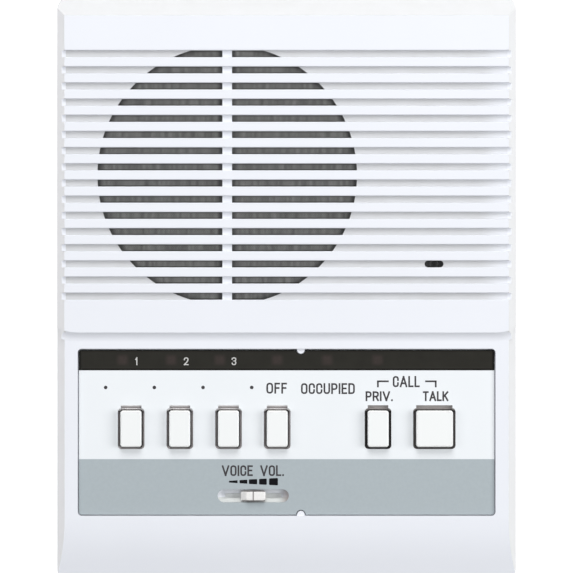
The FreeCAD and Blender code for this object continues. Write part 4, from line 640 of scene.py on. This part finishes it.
def grille_cloth():
    """Charcoal speaker cloth: a plain weave of slubbed threads, with painted shade by the slats, the rib and
    its rim.
    """
    finish = Finish("grille_cloth_weave", sheen_weight=0.3, sheen_roughness=0.5, specular_ior_level=0.2)
    x, y = finish.axes()[:2]
    thread_pitch = 0.62 * MM
    warp = finish.maths("SINE", x * (2 * math.pi / thread_pitch))
    weft = finish.maths("SINE", y * (2 * math.pi / thread_pitch))
    crowns = warp * weft * 0.5 + 0.5
    slub = finish.noise(1.5 * MM, detail=4.0, stretch=(1.0, 0.15, 1.0))
    hair = finish.noise(0.16 * MM, detail=3.0)
    thread = crowns * 0.4 + slub * 0.45 + hair * 0.15
    woven = finish.blend((0.042, 0.043, 0.042), (0.40, 0.40, 0.385), finish.steps(thread, 0.22, 0.88))
    # Painted shade along the slats' edges, beside the rib and round the rim.
    off_slot = (finish.maths("FRACT", (y - CLOTH_MIDDLE.y) / SLOT_PITCH) - 0.5) * SLOT_PITCH
    up_side = finish.steps(off_slot, 0.75 * MM, 1.15 * MM)
    low_side = finish.steps(off_slot, -0.55 * MM, -1.05 * MM)
    beside_rib = finish.steps(abs(x - CLOTH_MIDDLE.x), 3.6 * MM, 2.2 * MM)
    hem = finish.steps(round_speaker(finish), CLOTH_R - 3.0 * MM, CLOTH_R - 1.0 * MM)
    shaded = finish.blend(woven, (0.022, 0.022, 0.021), up_side * 0.7 + low_side * 0.85)
    rimmed = finish.maths("MAXIMUM", beside_rib, hem) * 0.55
    finish.colour(finish.blend(shaded, (0.020, 0.020, 0.021), rimmed))
    finish.roughness(0.82 + (hair - 0.5) * 0.2)
    finish.relief(crowns + hair * 0.4, 0.12 * MM)
    return finish


def gasket_foam():
    finish = Finish("gasket_foam", specular_ior_level=0.2)
    pores = finish.cells(0.5 * MM)
    tone = finish.noise(6 * MM, detail=4.0)
    finish.colour(finish.blend((0.035, 0.035, 0.037), (0.09, 0.09, 0.092), pores * 0.7 + tone * 0.3))
    finish.roughness(0.9 - tone * 0.1)
    finish.relief(pores, 0.12 * MM)
    return finish


def basket_steel():
    return metal("basket_steel", (0.70, 0.68, 0.60), (0.52, 0.49, 0.42), 0.36, 0.3)


def round_speaker(finish):
    """Distance from the speaker's axis."""
    inputs = {"Vector": finish.place, "Location": (-CLOTH_MIDDLE.x, -CLOTH_MIDDLE.y, 0.0)}
    centred = finish.add("ShaderNodeMapping", inputs=inputs)
    flat = finish.add("ShaderNodeVectorMath", {"operation": "MULTIPLY"}, {0: centred, 1: (1.0, 1.0, 0.0)})
    return finish.add("ShaderNodeVectorMath", {"operation": "LENGTH"}, {0: flat}, "Value")


def surround_cloth():
    """Doped cloth roll, its weave just showing through the rubbery coat."""
    finish = Finish("surround_cloth")
    x, y = finish.axes()[:2]
    weave = finish.ripple(x, 0.5 * MM) * finish.ripple(y, 0.5 * MM)
    tone = finish.noise(3 * MM, detail=4.0)
    finish.colour(finish.blend((0.02, 0.02, 0.021), (0.06, 0.057, 0.055), weave * 0.5 + tone * 0.5))
    finish.roughness(0.55 + tone * 0.2)
    finish.relief(weave, 0.05 * MM)
    return finish


def cone_paper():
    """Pressed paper pulp with faint rings."""
    finish = Finish("cone_paper", specular_ior_level=0.25)
    rings = finish.ripple(round_speaker(finish), 2.4 * MM)
    fibre = finish.noise(0.7 * MM, detail=6.0, warp=1.2)
    finish.colour(finish.blend((0.045, 0.042, 0.04), (0.13, 0.125, 0.12), fibre * 0.8 + rings * 0.2))
    finish.roughness(0.8 + (fibre - 0.5) * 0.2)
    finish.relief(fibre + rings * 0.5, 0.05 * MM)
    return finish


def spider_cloth():
    """Resin-stiffened ochre cloth."""
    finish = Finish("spider_cloth")
    x, y = finish.axes()[:2]
    weave = finish.ripple(x, 0.4 * MM) * finish.ripple(y, 0.4 * MM)
    tone = finish.noise(2.5 * MM, detail=4.0)
    finish.colour(finish.blend((0.46, 0.29, 0.11), (0.60, 0.42, 0.20), weave * 0.5 + tone * 0.5))
    finish.roughness(0.7 + (tone - 0.5) * 0.2)
    finish.relief(weave, 0.06 * MM)
    return finish


def ferrite():
    """Dull ceramic magnet, pitted and chipped."""
    finish = Finish("ferrite", specular_ior_level=0.35)
    pits = finish.noise(0.45 * MM, detail=6.0)
    tone = finish.noise(5 * MM, detail=3.0)
    finish.colour(finish.blend((0.055, 0.053, 0.052), (0.10, 0.098, 0.096), pits * 0.5 + tone * 0.5))
    finish.roughness(0.6 + (pits - 0.5) * 0.3)
    finish.relief(finish.steps(pits, 0.3, 0.5), 0.04 * MM)
    return finish


def pole_steel():
    return metal("pole_steel", (0.64, 0.65, 0.66), (0.50, 0.50, 0.50), 0.33, 0.3, (1.0, 0.1, 1.0))


def tag_laminate():
    return moulded("tag_laminate", (0.26, 0.15, 0.08), (0.19, 0.105, 0.055), 0.4, 0.55, 0.01)


def terminal_plastic():
    return moulded("terminal_plastic", (0.03, 0.03, 0.03), (0.018, 0.018, 0.018), 0.3, 0.4)


def terminal_brass():
    """Brass plates under plated steel screws."""
    finish = Finish("terminal_brass", metallic=1.0)
    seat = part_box("terminal_block")[0].z + 4.8 * MM
    z = finish.axes()[2]
    lines = finish.noise(0.3 * MM, detail=3.0, stretch=(1.0, 0.1, 1.0))
    tarnish = finish.noise(1.8 * MM, detail=5.0)
    brass = finish.blend((0.72, 0.52, 0.22), (0.42, 0.27, 0.10), tarnish * 0.6 + lines * 0.3)
    steel = finish.blend((0.64, 0.63, 0.60), (0.48, 0.46, 0.42), tarnish)
    finish.colour(finish.blend(brass, steel, z > seat + 0.05 * MM))
    finish.roughness(0.3 + tarnish * 0.2)
    finish.relief(lines, 0.006 * MM)
    return finish


def stem_plastic():
    return moulded("stem_plastic", (0.62, 0.63, 0.62), (0.55, 0.56, 0.55), 0.25, 0.45)


def screen_ink(name, full, thin, shine, rough):
    """Screen-printed ink, a little uneven in cover."""
    finish = Finish(name, specular_ior_level=shine)
    cover = finish.noise(0.35 * MM, detail=4.0)
    finish.colour(finish.blend(full, thin, cover))
    finish.roughness(rough + (cover - 0.5) * 0.2)
    finish.relief(cover, 0.002 * MM)
    return finish


def dark_ink():
    return screen_ink("dark_ink", (0.034, 0.031, 0.034), (0.068, 0.063, 0.068), 0.3, 0.5)


def black_ink():
    return screen_ink("black_ink", (0.004, 0.004, 0.006), (0.010, 0.010, 0.012), 0.1, 0.45)


def white_ink():
    return screen_ink("white_ink", (0.66, 0.66, 0.64), (0.50, 0.50, 0.49), 0.3, 0.5)


def studio_paper():
    """The translucent table that the intercom stands on, softly lit from below."""
    finish = Finish("studio_paper", specular_ior_level=0.1, emission_color=WHITE, emission_strength=0.55)
    fibre = finish.noise(1.5 * MM, detail=4.0)
    tone = finish.noise(300 * MM, detail=2.0)
    finish.colour(finish.blend((0.90, 0.90, 0.905), (0.88, 0.88, 0.885), tone * 0.6 + fibre * 0.4))
    finish.roughness(0.85 + (fibre - 0.5) * 0.1)
    finish.relief(fibre, 0.02 * MM)
    return finish


SHARED_FINISHES = (
    case_plastic, foot_rubber, screw_steel, smoked_acrylic, printed_plate, switch_plastic, bank_steel,
    spring_steel, knob_plastic, holder_plastic, lamp_red, board_laminate, core_iron, copper_winding,
    capacitor_sleeve, component_black, socket_plastic, microphone_can, boot_rubber, gasket_foam,
    basket_steel, surround_cloth, cone_paper, spider_cloth, ferrite, pole_steel, tag_laminate,
    terminal_plastic, terminal_brass, stem_plastic,
)
OWN_FINISHES = {"key_plastic": key_plastic, "lead_insulation": lead_insulation}


def finish_nodes():
    """Gives every CAD node the finish that its material slot names."""
    shared = {make.__name__: make().material for make in SHARED_FINISHES}
    for name, node in NODES.items():
        for slot in node.material_slots:
            if slot.material.name in OWN_FINISHES:
                slot.material = OWN_FINISHES[slot.material.name](name).material
            elif slot.material.name in shared:
                slot.material = shared[slot.material.name]


# ---- pieces ----
def placed(name, shape, finish, body):
    """Makes an object of a bmesh, with its finish, riding on its body."""
    mesh = bpy.data.meshes.new(name)
    shape.to_mesh(mesh)
    shape.free()
    mesh.materials.append(finish.material)
    piece = bpy.data.objects.new(name, mesh)
    bpy.context.scene.collection.objects.link(piece)
    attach(piece, body)
    return piece


def speaker_cloth_sheet():
    """The woven cloth, stretched flat behind the grille and drawn back a hair in its middle."""
    shape = bmesh.new()
    bmesh.ops.create_circle(shape, cap_ends=True, segments=96, radius=CLOTH_R)
    # The disc left in the middle is one and a half rings in radius.
    ring_width = CLOTH_R / (CLOTH_RINGS + 1.5)
    for _ in range(CLOTH_RINGS):
        bmesh.ops.inset_region(shape, faces=shape.faces[:1], thickness=ring_width)
        shape.faces.ensure_lookup_table()
    for corner in shape.verts:
        corner.co.z = -CLOTH_DRAW * (1 - (corner.co.length / CLOTH_R) ** 2)
    top = (CLOTH_MIDDLE.x, CLOTH_MIDDLE.y, CLOTH_HIGH.z - CLOTH_GAP)
    bmesh.ops.translate(shape, verts=shape.verts, vec=top)
    sheet = placed("speaker_cloth_sheet", shape, grille_cloth(), "case")
    thick = sheet.modifiers.new("cloth", "SOLIDIFY")
    thick.thickness = CLOTH_THICK
    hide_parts("speaker_cloth")


def inked(name, shape, finish):
    """Puts a film of ink on the panel."""
    piece = placed(name, shape, finish, "case")


def rounded(points, bend):
    """A pen stroke's points, with each corner cut to a curve that starts up to a bend away from it."""
    line = [points[0]]
    last = len(points) - 2
    for i in range(1, last + 1):
        back, ahead = points[i - 1] - points[i], points[i + 1] - points[i]
        leave = back * min(bend / back.length, 0.95 if i == 1 else 0.5)
        join = ahead * min(bend / ahead.length, 0.95 if i == last else 0.5)
        line += [points[i] + leave * (1 - t / 4) ** 2 + join * (t / 4) ** 2 for t in range(5)]
    return line + [points[-1]]


def add_stroke(drawing, points, pen):
    """Adds one pen stroke, its ends half a pen beyond its points."""
    line = list(points)
    line[0] = line[0] + (line[0] - line[1]).normalized() * pen / 2
    line[-1] = line[-1] + (line[-1] - line[-2]).normalized() * pen / 2
    spline = drawing.splines.new("POLY")
    spline.points.add(len(line) - 1)
    for point, place in zip(spline.points, line):
        point.co = (*place, 1.0)


def printed_word(name, text, x, y, width, height, pen, finish):
    """A word in thin ink, drawn with a round pen to its real width and height."""
    wide, tall = width - pen, height - pen
    shares = [LETTERS[character][0] for character in text]
    stretch = wide / (sum(shares) + LETTER_GAP * (len(text) - 1))
    left = -wide / 2
    drawing = bpy.data.curves.new(name + "_strokes", "CURVE")
    drawing.dimensions = "3D"
    drawing.bevel_depth = pen / 2
    drawing.bevel_resolution = 2
    drawing.use_fill_caps = True
    for character, share in zip(text, shares):
        across = share * stretch
        for bend, *corners in LETTERS[character][1:]:
            points = [Vector((left + u * across, (v - 0.5) * tall, 0.0)) for u, v in corners]
            strokes = [rounded(points, across / 2)] if bend else zip(points, points[1:])
            for stroke in strokes:
                add_stroke(drawing, stroke, pen)
        left += across + LETTER_GAP * stretch
    source = bpy.data.objects.new(name + "_strokes", drawing)
    mesh = bpy.data.meshes.new_from_object(source)
    shape = bmesh.new()
    shape.from_mesh(mesh)
    bpy.data.objects.remove(source)
    bpy.data.meshes.remove(mesh)
    flattened = (INK_THICK + INK_SUNK) / pen * MM
    bmesh.ops.transform(shape, verts=shape.verts, matrix=Matrix.Diagonal((MM, MM, flattened, 1.0)))
    bmesh.ops.translate(shape, verts=shape.verts, vec=Vector((x * MM, y * MM, INK_Z)))
    inked(name, shape, finish)


def add_bar(shape, x, y, width, height, lean=1.0):
    """Adds one printed bar with softened corners. Its left end is lean times as high as its right end."""
    bar = bmesh.ops.create_cube(shape, size=1.0)["verts"]
    for corner in bar:
        corner.co.y *= lean if corner.co.x < 0 else 1.0
    size = Matrix.Diagonal((width * MM, height * MM, INK_DEPTH, 1.0))
    bmesh.ops.transform(shape, verts=bar, matrix=size)
    upright = {e for corner in bar for e in corner.link_edges if abs(e.verts[0].co.z - e.verts[1].co.z) > 0}
    grown = bmesh.ops.bevel(
        shape, geom=list(upright), offset=INK_RUN * min(width, height) * MM,
        affect="EDGES", segments=2, profile=0.5, material=-1,
    )
    corners = {corner for face in grown["faces"] for corner in face.verts} | {c for c in bar if c.is_valid}
    bmesh.ops.translate(shape, verts=list(corners), vec=(x * MM, y * MM, INK_Z))


def station_dots(finish):
    """The four dots above and to the left of the station and off keys."""
    shape = bmesh.new()
    for x in DOT_XS:
        bmesh.ops.create_cone(
            shape, cap_ends=True, segments=24, radius1=DOT_R * MM, radius2=DOT_R * MM,
            depth=INK_DEPTH, matrix=Matrix.Translation((x * MM, DOT_Y * MM, INK_Z)),
        )
    inked("station_dots", shape, finish)


def call_brackets(finish):
    """The two corner lines that tie the privacy and talk keys to their heading."""
    shape = bmesh.new()
    for outer, inner in BRACKETS:
        add_bar(shape, (outer + inner) / 2, BRACKET_Y, abs(outer - inner), BRACKET_LINE)
        side = BRACKET_LINE / 2 if inner > outer else -BRACKET_LINE / 2
        add_bar(shape, outer + side, BRACKET_Y - BRACKET_DROP / 2, BRACKET_LINE, BRACKET_DROP)
    inked("call_brackets", shape, finish)


def volume_wedge(finish):
    """Five bars that grow towards the loud end."""
    shape = bmesh.new()
    for x, width, height, lean in WEDGE_BARS:
        add_bar(shape, x, WEDGE_Y, width, height, lean)
    inked("volume_wedge", shape, finish)


def print_panel():
    charcoal = dark_ink()
    white = white_ink()
    for legend in LEGENDS:
        printed_word(*legend, LEGEND_PEN, charcoal)
    for numeral in NUMERALS:
        printed_word(*numeral, NUMERAL_PEN, white)
    station_dots(charcoal)
    call_brackets(charcoal)
    volume_wedge(black_ink())


# ---- studio ----
def studio_floor():
    """The table's top, a hair under the feet so that the two never share a plane."""
    shape = bmesh.new()
    bmesh.ops.create_grid(shape, x_segments=8, y_segments=8, size=FLOOR_SIZE)
    bmesh.ops.translate(shape, verts=shape.verts, vec=(0.0, 0.0, -FLOOR_DROP))
    mesh = bpy.data.meshes.new("studio_floor")
    shape.to_mesh(mesh)
    shape.free()
    mesh.materials.append(studio_paper().material)
    floor = bpy.data.objects.new("studio_floor", mesh)
    bpy.context.scene.collection.objects.link(floor)


def studio_lights():
    """Square soft boxes turned to the face, under a faint even sky."""
    aim = Vector((0.0, 0.0, FACE_Z))
    for name, position, power in SOFT_BOXES:
        light = bpy.data.lights.new(name, "AREA")
        light.shape = "SQUARE"
        light.size = SOFT_BOX_SIZE
        light.energy = power
        lamp = bpy.data.objects.new(name, light)
        lamp.location = position
        lamp.rotation_euler = (aim - Vector(position)).to_track_quat("-Z", "Y").to_euler()
        bpy.context.scene.collection.objects.link(lamp)
    world = bpy.data.worlds.new("studio")
    world.use_nodes = True
    background = world.node_tree.nodes["Background"]
    background.inputs["Color"].default_value = SKY
    background.inputs["Strength"].default_value = SKY_STRENGTH
    bpy.context.scene.world = world


def straight_down_camera():
    """A long lens above the face, looking straight down."""
    camera = bpy.data.cameras.new("camera")
    camera.sensor_width = 36.0
    camera.lens = camera.sensor_width * VIEW_DISTANCE / VIEW_WIDTH
    camera.clip_end = 10.0
    stand = bpy.data.objects.new("camera", camera)
    stand.location = (VIEW_X, VIEW_Y, FACE_Z + VIEW_DISTANCE)
    bpy.context.scene.collection.objects.link(stand)
    bpy.context.scene.camera = stand
    bpy.context.scene.view_settings.view_transform = "Standard"


straight_down_camera()
studio_lights()
studio_floor()
finish_nodes()
speaker_cloth_sheet()
print_panel()
